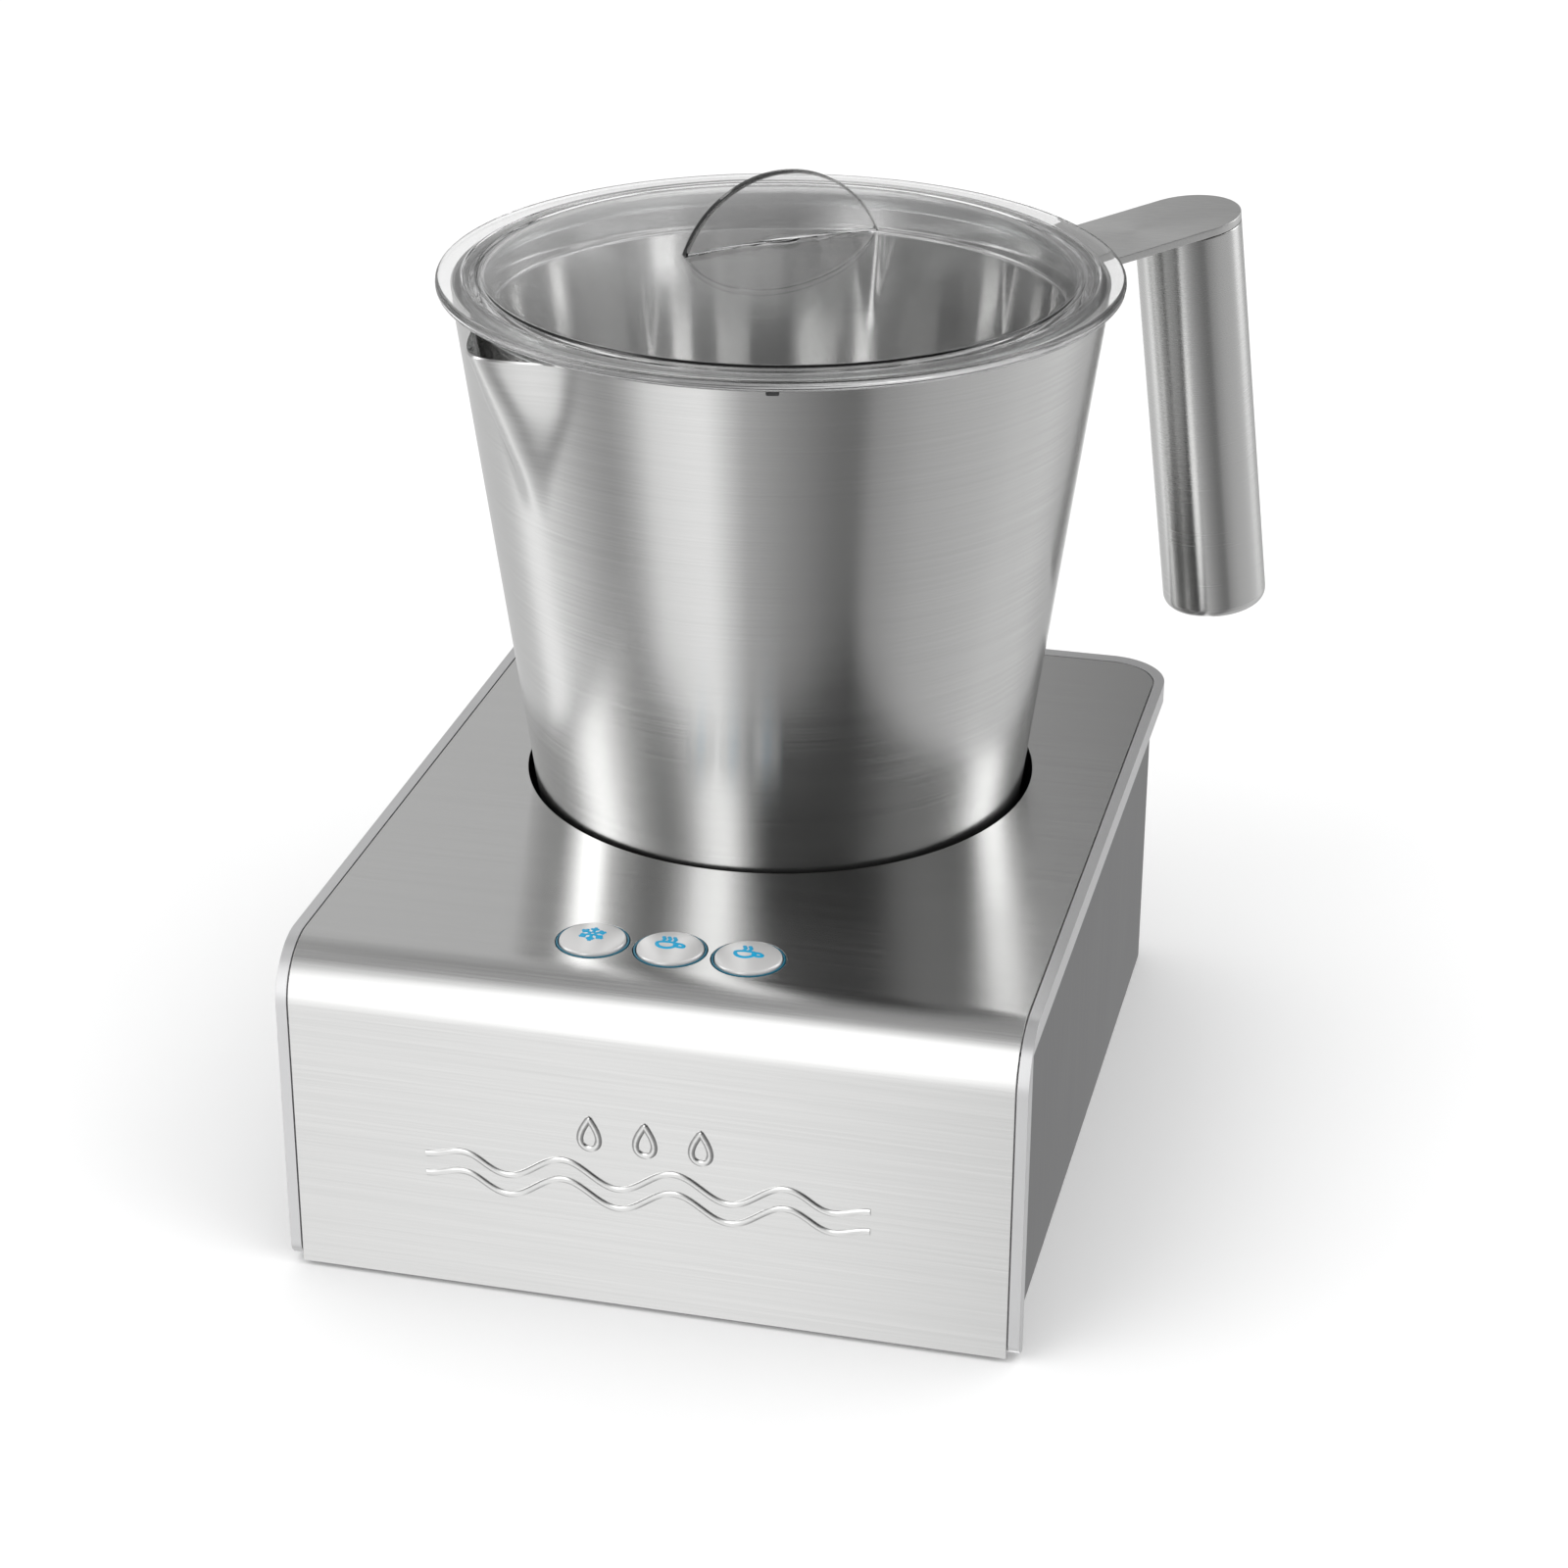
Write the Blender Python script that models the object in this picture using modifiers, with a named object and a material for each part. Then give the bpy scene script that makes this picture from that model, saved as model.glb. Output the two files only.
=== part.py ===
"""Induction milk frother: a base with a well, a steel jug with spout and handle, and a clear lid.

Metres, +Z up, front towards -Y. Every piece is laid out from the well's axis. The root empty then
shifts them all, so that the object's box is centred on the origin and stands on z = 0.
"""

import math

import bmesh
import bpy
from mathutils import Matrix, Vector

MM = 0.001
GAP = 0.3 * MM

# The well's axis, seen from the centre of the object's box
AXIS_X = -10.53 * MM
AXIS_Y = 14.16 * MM

# Base housing and its steel cover
BASE_HALF = 76.6 * MM
BASE_FRONT = -111.4 * MM
BASE_TOP = 73.0 * MM
BASE_BOTTOM = 1.0 * MM
REAR_RADIUS = 14.0 * MM
FRONT_RADIUS = 12.5 * MM
PANEL_INSET = 2.75 * MM
PANEL_HALF = BASE_HALF - PANEL_INSET
RIM_DROP = 4.7 * MM
RIM_LEG = 4.2 * MM
WALL = 2.5 * MM
SHEET = 0.8 * MM
SHEET_HALF = 74.0 * MM
SHEET_BACK = 72.9 * MM
SHEET_BACK_RADIUS = 11.0 * MM
DECK_BOTTOM = 69.4 * MM
ROOM_HALF = PANEL_HALF - WALL
ROOM_FRONT = BASE_FRONT + SHEET + GAP + WALL

# Bottom cover, feet, screws and the gland in the rear wall
PLATE_BOTTOM = 2.2 * MM
PLATE_TOP = 5.2 * MM
FOOT_RADIUS = 7.0 * MM
FOOT_PEG = 2.5 * MM
FOOT_PLACES = [(x * MM, y * MM) for x in (-62, 62) for y in (-97, 58)]
SCREW_PLACES = [(x * MM, y * MM) for x in (-65.5, 65.5) for y in (-80, 36)]
SCREW_RADIUS = 1.5 * MM
SCREW_HEAD = 3.0 * MM
SCREW_HOLE = 1.9 * MM
GLAND_X = 40.0 * MM
GLAND_Z = 17.0 * MM
GLAND_NECK = 5.0 * MM

# Well
WELL_HOLE = 56.4 * MM
WELL_RADIUS = 56.7 * MM
WELL_OUTER = 58.4 * MM
WELL_TOP = 70.9 * MM
WELL_FLOOR = 42.0 * MM
WELL_FLOOR_BOTTOM = 40.0 * MM

# Under the well: coil, magnet drive, temperature sensor and fan
CARRIER_BOTTOM = 31.4 * MM
CARRIER_TOP = 33.9 * MM
SENSOR_X = -19.5 * MM
MAGNET_RING = 8.5 * MM
MAGNET_RADIUS = 2.8 * MM
SHAFT_RADIUS = 1.5 * MM
FAN_X = -41.0 * MM
FAN_Y = 30.0 * MM
FAN_HALF = 20.0 * MM
FAN_BOTTOM = 5.5 * MM
FAN_TOP = 15.5 * MM

# Buttons and what they press
BUTTON_Y = -91.1 * MM
BUTTON_PITCH = 16.1 * MM
BUTTON_RADIUS = 6.8 * MM
LIGHT_INNER = 7.0 * MM
LIGHT_OUTER = 7.4 * MM
BUTTON_HOLE = 7.6 * MM
BOARD_BOTTOM = 58.0 * MM
BOARD_TOP = 59.6 * MM

# Power board in the front of the base
POWER_BOTTOM = 9.3 * MM
POWER_TOP = 10.9 * MM

# Jug
JUG_FOOT = 42.3 * MM
JUG_FLOOR = 44.3 * MM
JUG_TOP = 183.6 * MM
JUG_TOP_RADIUS = 68.7 * MM
JUG_TAPER = 0.1338
JUG_CORNER = 6.0 * MM
JUG_SHEET = 0.9 * MM
JUG_STEPS = 56
SPOUT_ANGLE = math.radians(-127.5)
SPOUT_HALF_ANGLE = math.radians(12.8)
SPOUT_REACH = 9.6 * MM
SPOUT_BOTTOM = 144.0 * MM

# Handle, in the upright plane through the jug's axis
HANDLE_ANGLE = math.radians(39.7)
HANDLE_TILT = math.radians(8.0)
HANDLE_REACH = 98.9 * MM
HANDLE_TOP = 185.5 * MM
HANDLE_RADIUS = 11.8 * MM
HANDLE_LENGTH = 94.0 * MM
HANDLE_WALL = 1.2 * MM
ARM_THICKNESS = 1.8 * MM

# Lid
LID_RADIUS = 71.8 * MM
LID_UNDER = 184.1 * MM
LID_UPPER = 186.5 * MM
DOME_RADIUS = 63.3 * MM
DOME_EDGE = 186.3 * MM
DOME_RISE = 6.5 * MM
DOME_WALL = 2.0 * MM
SKIRT_BOTTOM = 176.0 * MM
GRIP_RADIUS = 23.9 * MM
GRIP_CENTRE = 183.4 * MM
GRIP_FOOT = 191.2 * MM
GRIP_HALF_THICKNESS = 1.1 * MM


# ---------------------------------------------------------------- scene and materials


def clear_scene():
    for item in list(bpy.data.objects):
        bpy.data.objects.remove(item, do_unlink=True)


def new_collection(name):
    collection = bpy.data.collections.new(name)
    bpy.context.scene.collection.children.link(collection)
    return collection


def material(name, colour, roughness, metallic=0.0, alpha=1.0):
    made = bpy.data.materials.new(name)
    made.use_nodes = True
    shader = made.node_tree.nodes["Principled BSDF"]
    shader.inputs["Base Color"].default_value = (*colour, 1.0)
    shader.inputs["Roughness"].default_value = roughness
    shader.inputs["Metallic"].default_value = metallic
    shader.inputs["Alpha"].default_value = alpha
    made.diffuse_color = (*colour, alpha)
    return made


def make_materials():
    return {
        "steel": material("brushed_steel", (0.62, 0.62, 0.61), 0.32, 1.0),
        "silver": material("silver_plastic", (0.52, 0.52, 0.53), 0.42),
        "black": material("black_plastic", (0.02, 0.02, 0.022), 0.5),
        "rubber": material("dark_rubber", (0.04, 0.04, 0.04), 0.8),
        "clear": material("clear_plastic", (0.95, 0.96, 0.96), 0.05, alpha=0.3),
        "silicone": material("seal_silicone", (0.8, 0.82, 0.82), 0.5, alpha=0.6),
        "light": material("light_guide", (0.05, 0.45, 0.75), 0.3),
        "cap": material("button_silver", (0.68, 0.68, 0.69), 0.3),
        "board": material("circuit_board", (0.03, 0.2, 0.09), 0.5),
        "copper": material("copper_winding", (0.72, 0.36, 0.16), 0.35, 1.0),
        "ferrite": material("ferrite", (0.09, 0.09, 0.1), 0.7),
        "aluminium": material("aluminium", (0.75, 0.76, 0.77), 0.35, 1.0),
        "zinc": material("zinc_steel", (0.6, 0.61, 0.63), 0.35, 1.0),
        "white": material("white_plastic", (0.8, 0.8, 0.78), 0.5),
    }


clear_scene()
PARTS = new_collection("milk_frother")
CUTTERS = new_collection("cutters")
MATERIALS = make_materials()


# ---------------------------------------------------------------- modelling helpers


def shade(mesh):
    mesh.shade_smooth()
    mesh.set_sharp_from_angle(angle=math.radians(35))


def add_object(name, data, look):
    """A part with the named material, or a cutter where look is None."""
    made = bpy.data.objects.new(name, data)
    (PARTS if look else CUTTERS).objects.link(made)
    if look:
        data.materials.append(MATERIALS[look])
    else:
        made.hide_render = True
        made.display_type = "WIRE"
    return made


def as_mesh(item, look):
    """The object's evaluated shape as a plain welded mesh, in place of its curve or modifiers."""
    bpy.context.view_layer.update()
    graph = bpy.context.evaluated_depsgraph_get()
    mesh = bpy.data.meshes.new_from_object(item.evaluated_get(graph))
    shape = bmesh.new()
    shape.from_mesh(mesh)
    bmesh.ops.remove_doubles(shape, verts=shape.verts, dist=1e-6)
    shape.to_mesh(mesh)
    shape.free()
    shade(mesh)
    mesh.materials.clear()
    name, matrix = item.name, item.matrix_world.copy()
    bpy.data.objects.remove(item, do_unlink=True)
    made = add_object(name, mesh, look)
    made.matrix_world = matrix
    return made


def from_bmesh(name, shape, look):
    mesh = bpy.data.meshes.new(name)
    shape.to_mesh(mesh)
    shape.free()
    shade(mesh)
    return add_object(name, mesh, look)


def box(name, low, high, look=None):
    low, high = Vector(low), Vector(high)
    shape = bmesh.new()
    bmesh.ops.create_cube(shape, size=1.0)
    bmesh.ops.scale(shape, vec=high - low, verts=shape.verts)
    bmesh.ops.translate(shape, vec=(low + high) / 2, verts=shape.verts)
    return from_bmesh(name, shape, look)


def cylinder(name, radius, bottom, top, place=(0.0, 0.0), look=None, steps=24):
    shape = bmesh.new()
    bmesh.ops.create_cone(
        shape, cap_ends=True, segments=steps, radius1=radius, radius2=radius, depth=top - bottom
    )
    made = from_bmesh(name, shape, look)
    made.location = (place[0], place[1], (top + bottom) / 2)
    return made


def turned(name, profile, look=None, steps=32, ring=False, start=0.0, place=(0.0, 0.0)):
    """A profile of (radius, height) points turned about Z; a ring's profile closes on itself."""
    mesh = bpy.data.meshes.new(name)
    points = [(radius * math.cos(start), radius * math.sin(start), height) for radius, height in profile]
    edges = [(i, i + 1) for i in range(len(points) - 1)]
    if ring:
        edges.append((len(points) - 1, 0))
    mesh.from_pydata(points, edges, [])
    made = add_object(name, mesh, look)
    made.location = (place[0], place[1], 0.0)
    screw = made.modifiers.new("turned", "SCREW")
    screw.steps = steps
    screw.render_steps = steps
    screw.use_merge_vertices = True
    screw.merge_threshold = 1e-6
    return made


def ring_profile(inner, outer, bottom, top):
    return [(outer, top), (outer, bottom), (inner, bottom), (inner, top)]


def slab(name, outline, low, high, look=None, along="Z"):
    """A filled flat outline drawn out from low to high, along Z or along X."""
    curve = bpy.data.curves.new(name, "CURVE")
    curve.dimensions = "2D"
    curve.fill_mode = "BOTH"
    curve.extrude = (high - low) / 2
    spline = curve.splines.new("POLY")
    spline.points.add(len(outline) - 1)
    for point, (first, second) in zip(spline.points, outline):
        point.co = (first, second, 0.0, 1.0)
    spline.use_cyclic_u = True
    made = bpy.data.objects.new(name, curve)
    CUTTERS.objects.link(made)
    middle = (low + high) / 2
    if along == "Z":
        made.matrix_world = Matrix.Translation((0.0, 0.0, middle))
    else:
        # The outline's first number runs along +Y and its second along +Z.
        made.matrix_world = Matrix(((0, 0, 1, middle), (1, 0, 0, 0), (0, 1, 0, 0), (0, 0, 0, 1)))
    return as_mesh(made, look)


def boolean(item, operation, *others):
    for other in others:
        made = item.modifiers.new(operation.lower(), "BOOLEAN")
        made.operation = operation
        made.object = other


def cut(item, *others):
    boolean(item, "DIFFERENCE", *others)


def join(item, *others):
    boolean(item, "UNION", *others)


def rounded(item, width, segments=2):
    bevel = item.modifiers.new("rounded_edges", "BEVEL")
    bevel.width = width
    bevel.segments = segments
    bevel.limit_method = "ANGLE"
    bevel.angle_limit = math.radians(40)


def arc(centre, radius, start, end, steps):
    """Points on a circle from one angle to another, in degrees, both ends included."""
    angles = [math.radians(start + (end - start) * i / steps) for i in range(steps + 1)]
    return [(centre[0] + radius * math.cos(a), centre[1] + radius * math.sin(a)) for a in angles]


def plan_outline(half, back, front, radius):
    """The base seen from above: square front corners and round rear corners."""
    right = arc((half - radius, back - radius), radius, 0, 90, 6)
    left = arc((-half + radius, back - radius), radius, 90, 180, 6)
    return [(-half, front), (half, front), *right, *left]


def side_outline(front, top, back, bottom, radius):
    """The base seen from the side, as (Y, Z): the front turns into the top in a round bend."""
    bend = arc((front + radius, top - radius), radius, 180, 90, 8)
    return [(front, bottom), *bend, (back, top), (back, bottom)]


def band_outline(outward, inward):
    """The steel cover's side view as a band about the base's outer line."""
    centre = (BASE_FRONT + FRONT_RADIUS, BASE_TOP - FRONT_RADIUS)
    outer = arc(centre, FRONT_RADIUS + outward, 180, 90, 8)
    inner = arc(centre, FRONT_RADIUS - inward, 90, 180, 8)
    back, bottom = SHEET_BACK + 2 * MM, BASE_BOTTOM - outward
    return [
        (BASE_FRONT - outward, bottom), *outer, (back, BASE_TOP + outward),
        (back, BASE_TOP - inward), *inner, (BASE_FRONT + inward, bottom),
    ]


def button_places():
    return [(column * BUTTON_PITCH, BUTTON_Y) for column in (-1, 0, 1)]


# ---------------------------------------------------------------- base shells


def make_housing():
    far = BASE_HALF + 20 * MM
    housing = slab(
        "housing", side_outline(BASE_FRONT, BASE_TOP, BASE_HALF, BASE_BOTTOM, FRONT_RADIUS),
        -BASE_HALF, BASE_HALF, "silver", "X",
    )
    plan = slab(
        "housing_plan", plan_outline(BASE_HALF, BASE_HALF, BASE_FRONT - MM, REAR_RADIUS), 0.0, BASE_TOP + MM
    )
    boolean(housing, "INTERSECT", plan)

    # The side and rear panels lie back from the rim that runs along the front and the top edges.
    outside = box(
        "panel_outside", (-far, BASE_FRONT + RIM_LEG, -MM), (far, far, BASE_TOP - RIM_DROP)
    )
    panel = slab(
        "panel_plan",
        plan_outline(PANEL_HALF, PANEL_HALF, BASE_FRONT - MM, REAR_RADIUS - PANEL_INSET),
        -2 * MM, BASE_TOP,
    )
    cut(outside, panel)
    cut(housing, outside)

    room = slab(
        "room", side_outline(ROOM_FRONT, DECK_BOTTOM, far, -MM, FRONT_RADIUS - WALL),
        -far, far, None, "X",
    )
    room_plan = slab(
        "room_plan", plan_outline(ROOM_HALF, ROOM_HALF, BASE_FRONT, REAR_RADIUS - PANEL_INSET - WALL),
        -2 * MM, BASE_TOP,
    )
    boolean(room, "INTERSECT", room_plan)
    cut(housing, room)

    # The steel cover lies in a recess one sheet deep on the front and the top.
    recess = slab(
        "recess", band_outline(3 * MM, SHEET + GAP), -SHEET_HALF - GAP, SHEET_HALF + GAP, None, "X"
    )
    recess_plan = slab(
        "recess_plan",
        plan_outline(SHEET_HALF + GAP, SHEET_BACK + GAP, BASE_FRONT - 5 * MM, SHEET_BACK_RADIUS + GAP),
        -5 * MM, BASE_TOP + 5 * MM,
    )
    boolean(recess, "INTERSECT", recess_plan)
    cut(housing, recess)

    cut(housing, cylinder("well_opening", WELL_OUTER + GAP, 60 * MM, 80 * MM, steps=60))
    for index, place in enumerate(button_places(), 1):
        cut(housing, cylinder(f"button_opening_{index}", BUTTON_HOLE + GAP, 60 * MM, 80 * MM, place))
    gland_opening = cylinder("gland_opening", GLAND_NECK + GAP, -10 * MM, 10 * MM)
    gland_opening.matrix_world = gland_frame()
    cut(housing, gland_opening)

    for index, (x, y) in enumerate(SCREW_PLACES, 1):
        rib_end = math.copysign(PANEL_HALF - MM, x)
        rib = box(
            f"boss_rib_{index}", (min(x, rib_end), y - MM, PLATE_TOP + GAP),
            (max(x, rib_end), y + MM, 21.9 * MM),
        )
        boss = cylinder(f"boss_{index}", 4 * MM, PLATE_TOP + GAP, 22 * MM, (x, y), steps=12)
        bore = cylinder(f"boss_bore_{index}", SCREW_HOLE, 0.0, 19 * MM, (x, y), steps=12)
        join(housing, rib, boss)
        cut(housing, bore)
    for side in (-1, 1):
        post = cylinder(
            f"board_post_{side + 1}", 2.4 * MM, BOARD_TOP + GAP, DECK_BOTTOM + MM,
            (side * 27.0 * MM, BUTTON_Y), steps=12,
        )
        join(housing, post)


def make_steel_cover():
    cover = slab("steel_cover", band_outline(0.0, SHEET), -SHEET_HALF, SHEET_HALF, "steel", "X")
    plan = slab(
        "cover_plan", plan_outline(SHEET_HALF, SHEET_BACK, BASE_FRONT - 5 * MM, SHEET_BACK_RADIUS),
        -3 * MM, BASE_TOP + 4 * MM,
    )
    boolean(cover, "INTERSECT", plan)
    cut(cover, cylinder("cover_well_hole", WELL_HOLE, 60 * MM, 80 * MM, steps=72))
    for index, place in enumerate(button_places(), 1):
        cut(cover, cylinder(f"cover_button_hole_{index}", BUTTON_HOLE, 60 * MM, 80 * MM, place, steps=32))


def make_well():
    corner = 4 * MM
    floor_bend = arc((WELL_RADIUS - corner, WELL_FLOOR + corner), corner, -90, 0, 3)
    cup = turned(
        "well_cup",
        [
            (0.0, WELL_FLOOR), *floor_bend, (WELL_RADIUS, WELL_TOP), (WELL_OUTER, WELL_TOP),
            (WELL_OUTER, WELL_FLOOR_BOTTOM + corner), (WELL_OUTER - corner, WELL_FLOOR_BOTTOM),
            (0.0, WELL_FLOOR_BOTTOM),
        ],
        "black", steps=48,
    )
    sensor_hole = cylinder(
        "sensor_hole", 3.6 * MM, WELL_FLOOR_BOTTOM - 2 * MM, WELL_FLOOR + 2 * MM, (SENSOR_X, 0.0), steps=16
    )
    cut(cup, sensor_hole)
    sheet_under = BASE_TOP - SHEET
    turned(
        "well_seal",
        ring_profile(WELL_RADIUS + 0.1 * MM, WELL_OUTER - 0.1 * MM, WELL_TOP + GAP, sheet_under - GAP),
        "rubber", steps=40, ring=True,
    )


def make_base_plate():
    edge = ROOM_HALF - 0.4 * MM
    plate = slab(
        "base_plate",
        plan_outline(edge, edge, ROOM_FRONT + 0.4 * MM, REAR_RADIUS - PANEL_INSET - WALL),
        PLATE_BOTTOM, PLATE_TOP, "black",
    )
    for index, place in enumerate(SCREW_PLACES, 1):
        cut(
            plate,
            cylinder(f"plate_screw_hole_{index}", SCREW_HOLE, 0.0, 8 * MM, place, steps=12),
            cylinder(f"plate_counterbore_{index}", SCREW_HEAD + 0.4 * MM, 0.0, 4 * MM, place, steps=12),
        )
    for index, place in enumerate(FOOT_PLACES, 1):
        cut(plate, cylinder(f"foot_hole_{index}", FOOT_PEG + GAP, 0.0, 8 * MM, place, steps=14))
    for row in range(5):
        across = FAN_Y + (row - 2) * 6.5 * MM
        half = 15 * MM
        low = (FAN_X - half, across - 1.2 * MM, 0.0)
        high = (FAN_X + half, across + 1.2 * MM, 8 * MM)
        cut(plate, box(f"vent_{row + 1}", low, high))
    for index, (x, y) in enumerate(((-54, -101), (-54, -67), (54, -101), (54, -67)), 1):
        post = cylinder(
            f"power_post_{index}", 2.5 * MM, PLATE_TOP - MM, POWER_BOTTOM - GAP, (x * MM, y * MM), steps=12
        )
        join(plate, post)


def make_feet():
    pad_top = PLATE_BOTTOM - GAP
    for index, place in enumerate(FOOT_PLACES, 1):
        turned(
            f"foot_{index}",
            [
                (0.0, PLATE_TOP), (FOOT_PEG, PLATE_TOP), (FOOT_PEG, pad_top), (FOOT_RADIUS, pad_top),
                (FOOT_RADIUS, 0.7 * MM), (FOOT_RADIUS - 0.7 * MM, 0.0), (0.0, 0.0),
            ],
            "rubber", steps=14, place=place,
        )


def make_base_screws():
    head_bottom = PLATE_BOTTOM + GAP
    head_top = 3.7 * MM
    for index, place in enumerate(SCREW_PLACES, 1):
        turned(
            f"base_screw_{index}",
            [
                (0.0, 16 * MM), (SCREW_RADIUS, 15 * MM), (SCREW_RADIUS, head_top), (SCREW_HEAD, head_top),
                (SCREW_HEAD, head_bottom), (0.0, head_bottom),
            ],
            "zinc", steps=12, place=place,
        )


def gland_frame():
    """Local +Z points out of the rear wall."""
    return Matrix.Translation((GLAND_X, PANEL_HALF, GLAND_Z)) @ Matrix.Rotation(math.radians(-90), 4, "X")


def make_cord_gland():
    inside = -WALL - GAP
    gland = turned(
        "cord_gland",
        [
            (7.2 * MM, 2.6 * MM), (8 * MM, 1.8 * MM), (8 * MM, GAP), (GLAND_NECK, GAP),
            (GLAND_NECK, inside), (7.5 * MM, inside), (7.5 * MM, inside - 2 * MM),
            (3.2 * MM, inside - 2 * MM), (3.2 * MM, 2.6 * MM),
        ],
        "rubber", steps=20, ring=True,
    )
    gland.matrix_world = gland_frame()
    rounded(
        box("terminal_block", (31 * MM, 44 * MM, PLATE_TOP + GAP), (49 * MM, 56 * MM, 17 * MM), "white"),
        0.8 * MM, 1,
    )


# ---------------------------------------------------------------- buttons and boards


def make_buttons():
    for index, place in enumerate(button_places(), 1):
        turned(
            f"button_{index}",
            [
                (0.0, 74.6 * MM), (4.6 * MM, 74.3 * MM), (6.4 * MM, 73.7 * MM), (BUTTON_RADIUS, 73.1 * MM),
                (BUTTON_RADIUS, 70.2 * MM), (2.4 * MM, 70.2 * MM), (2.4 * MM, 65.4 * MM), (0.0, 65.4 * MM),
            ],
            "cap", steps=22, place=place,
        )
        turned(
            f"light_ring_{index}",
            [
                (LIGHT_OUTER, BASE_TOP + 0.1 * MM), (LIGHT_OUTER, 64 * MM), (LIGHT_INNER, 64 * MM),
                (LIGHT_INNER, BASE_TOP + 0.1 * MM),
            ],
            "light", steps=22, ring=True, place=place,
        )
        cylinder(f"switch_plunger_{index}", 1.7 * MM, 62.3 * MM, 65.1 * MM, place, "rubber", 12)
        x, y = place
        half = 3.1 * MM
        body = box(
            f"switch_body_{index}", (x - half, y - half, BOARD_TOP + GAP), (x + half, y + half, 63.2 * MM),
            "black",
        )
        cut(body, cylinder(f"switch_well_{index}", 2.0 * MM, 61.2 * MM, 65 * MM, place, steps=12))
    box(
        "control_board", (-31 * MM, BUTTON_Y - 12 * MM, BOARD_BOTTOM),
        (31 * MM, BUTTON_Y + 12 * MM, BOARD_TOP), "board",
    )


def comb_outline(low, high, bottom, foot, top, fins):
    """A heat sink's section, as (Y, Z): a foot with upright fins."""
    pitch = (high - low) / (2 * fins - 1)
    points = [(low, bottom)]
    for fin in range(fins):
        left = low + 2 * fin * pitch
        if fin:
            points.append((left, foot))
        points += [(left, top), (left + pitch, top)]
        if fin < fins - 1:
            points.append((left + pitch, foot))
    return [*points, (high, bottom)]


def make_power_board():
    on_board = POWER_TOP + GAP
    box("power_board", (-59 * MM, -105 * MM, POWER_BOTTOM), (59 * MM, -63 * MM, POWER_TOP), "board")
    slab(
        "heat_sink", comb_outline(-100 * MM, -69 * MM, on_board, on_board + 4 * MM, 32 * MM, 6),
        -50 * MM, -18 * MM, "aluminium", "X",
    )
    capacitor = cylinder("capacitor", 9 * MM, on_board, 36 * MM, (4 * MM, -84 * MM), "black", 20)
    rounded(capacitor, 1.2 * MM, 1)
    tube = 4.5 * MM
    section = arc((10 * MM, on_board + tube), tube, 90, -210, 5)
    turned("choke", section, "copper", steps=18, ring=True, place=(36 * MM, -84 * MM))


# ---------------------------------------------------------------- under the well


def make_coil():
    rim = 50 * MM
    carrier = turned(
        "coil_carrier",
        [
            (rim, WELL_FLOOR_BOTTOM - GAP), (rim, CARRIER_BOTTOM), (8 * MM, CARRIER_BOTTOM),
            (8 * MM, CARRIER_TOP), (rim - 2 * MM, CARRIER_TOP), (rim - 2 * MM, WELL_FLOOR_BOTTOM - GAP),
        ],
        "white", steps=32, ring=True,
    )
    cut(carrier, cylinder("carrier_sensor_hole", 1.9 * MM, 25 * MM, 40 * MM, (SENSOR_X, 0.0), steps=12))
    turned(
        "induction_coil", ring_profile(25 * MM, 47 * MM, CARRIER_TOP + GAP, 38.4 * MM), "copper",
        steps=36, ring=True,
    )
    low, high = (24 * MM, -3 * MM, 28 * MM), (46 * MM, 3 * MM, CARRIER_BOTTOM - GAP)
    for index in range(4):
        bar = box(f"ferrite_{index + 1}", low, high, "ferrite")
        bar.rotation_euler.z = math.radians(45 + 90 * index)


def make_drive():
    motor_top = CARRIER_BOTTOM - GAP
    shaft_room = SHAFT_RADIUS + 0.4 * MM
    turned(
        "drive_motor",
        [
            (0.0, 22 * MM), (shaft_room, 22 * MM), (shaft_room, motor_top), (13 * MM, motor_top),
            (14 * MM, motor_top - MM), (14 * MM, 11 * MM), (12 * MM, 9 * MM), (0.0, 9 * MM),
        ],
        "zinc", steps=24,
    )
    cylinder("motor_shaft", SHAFT_RADIUS, 22.6 * MM, 37.4 * MM, look="zinc", steps=16)
    rotor = turned(
        "magnet_rotor",
        [
            (0.0, 39.2 * MM), (12.4 * MM, 39.2 * MM), (13 * MM, 38.6 * MM), (13 * MM, 35.2 * MM),
            (SHAFT_RADIUS + GAP, 35.2 * MM), (SHAFT_RADIUS + GAP, 37.7 * MM), (0.0, 37.7 * MM),
        ],
        "white", steps=24,
    )
    for index, side in enumerate((-1, 1), 1):
        place = (0.0, side * MAGNET_RING)
        pocket = cylinder(f"drive_pocket_{index}", MAGNET_RADIUS + GAP, 36.5 * MM, 41 * MM, place, steps=16)
        cut(rotor, pocket)
        cylinder(f"drive_magnet_{index}", MAGNET_RADIUS, 36.8 * MM, 39.1 * MM, place, "zinc", 16)


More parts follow.
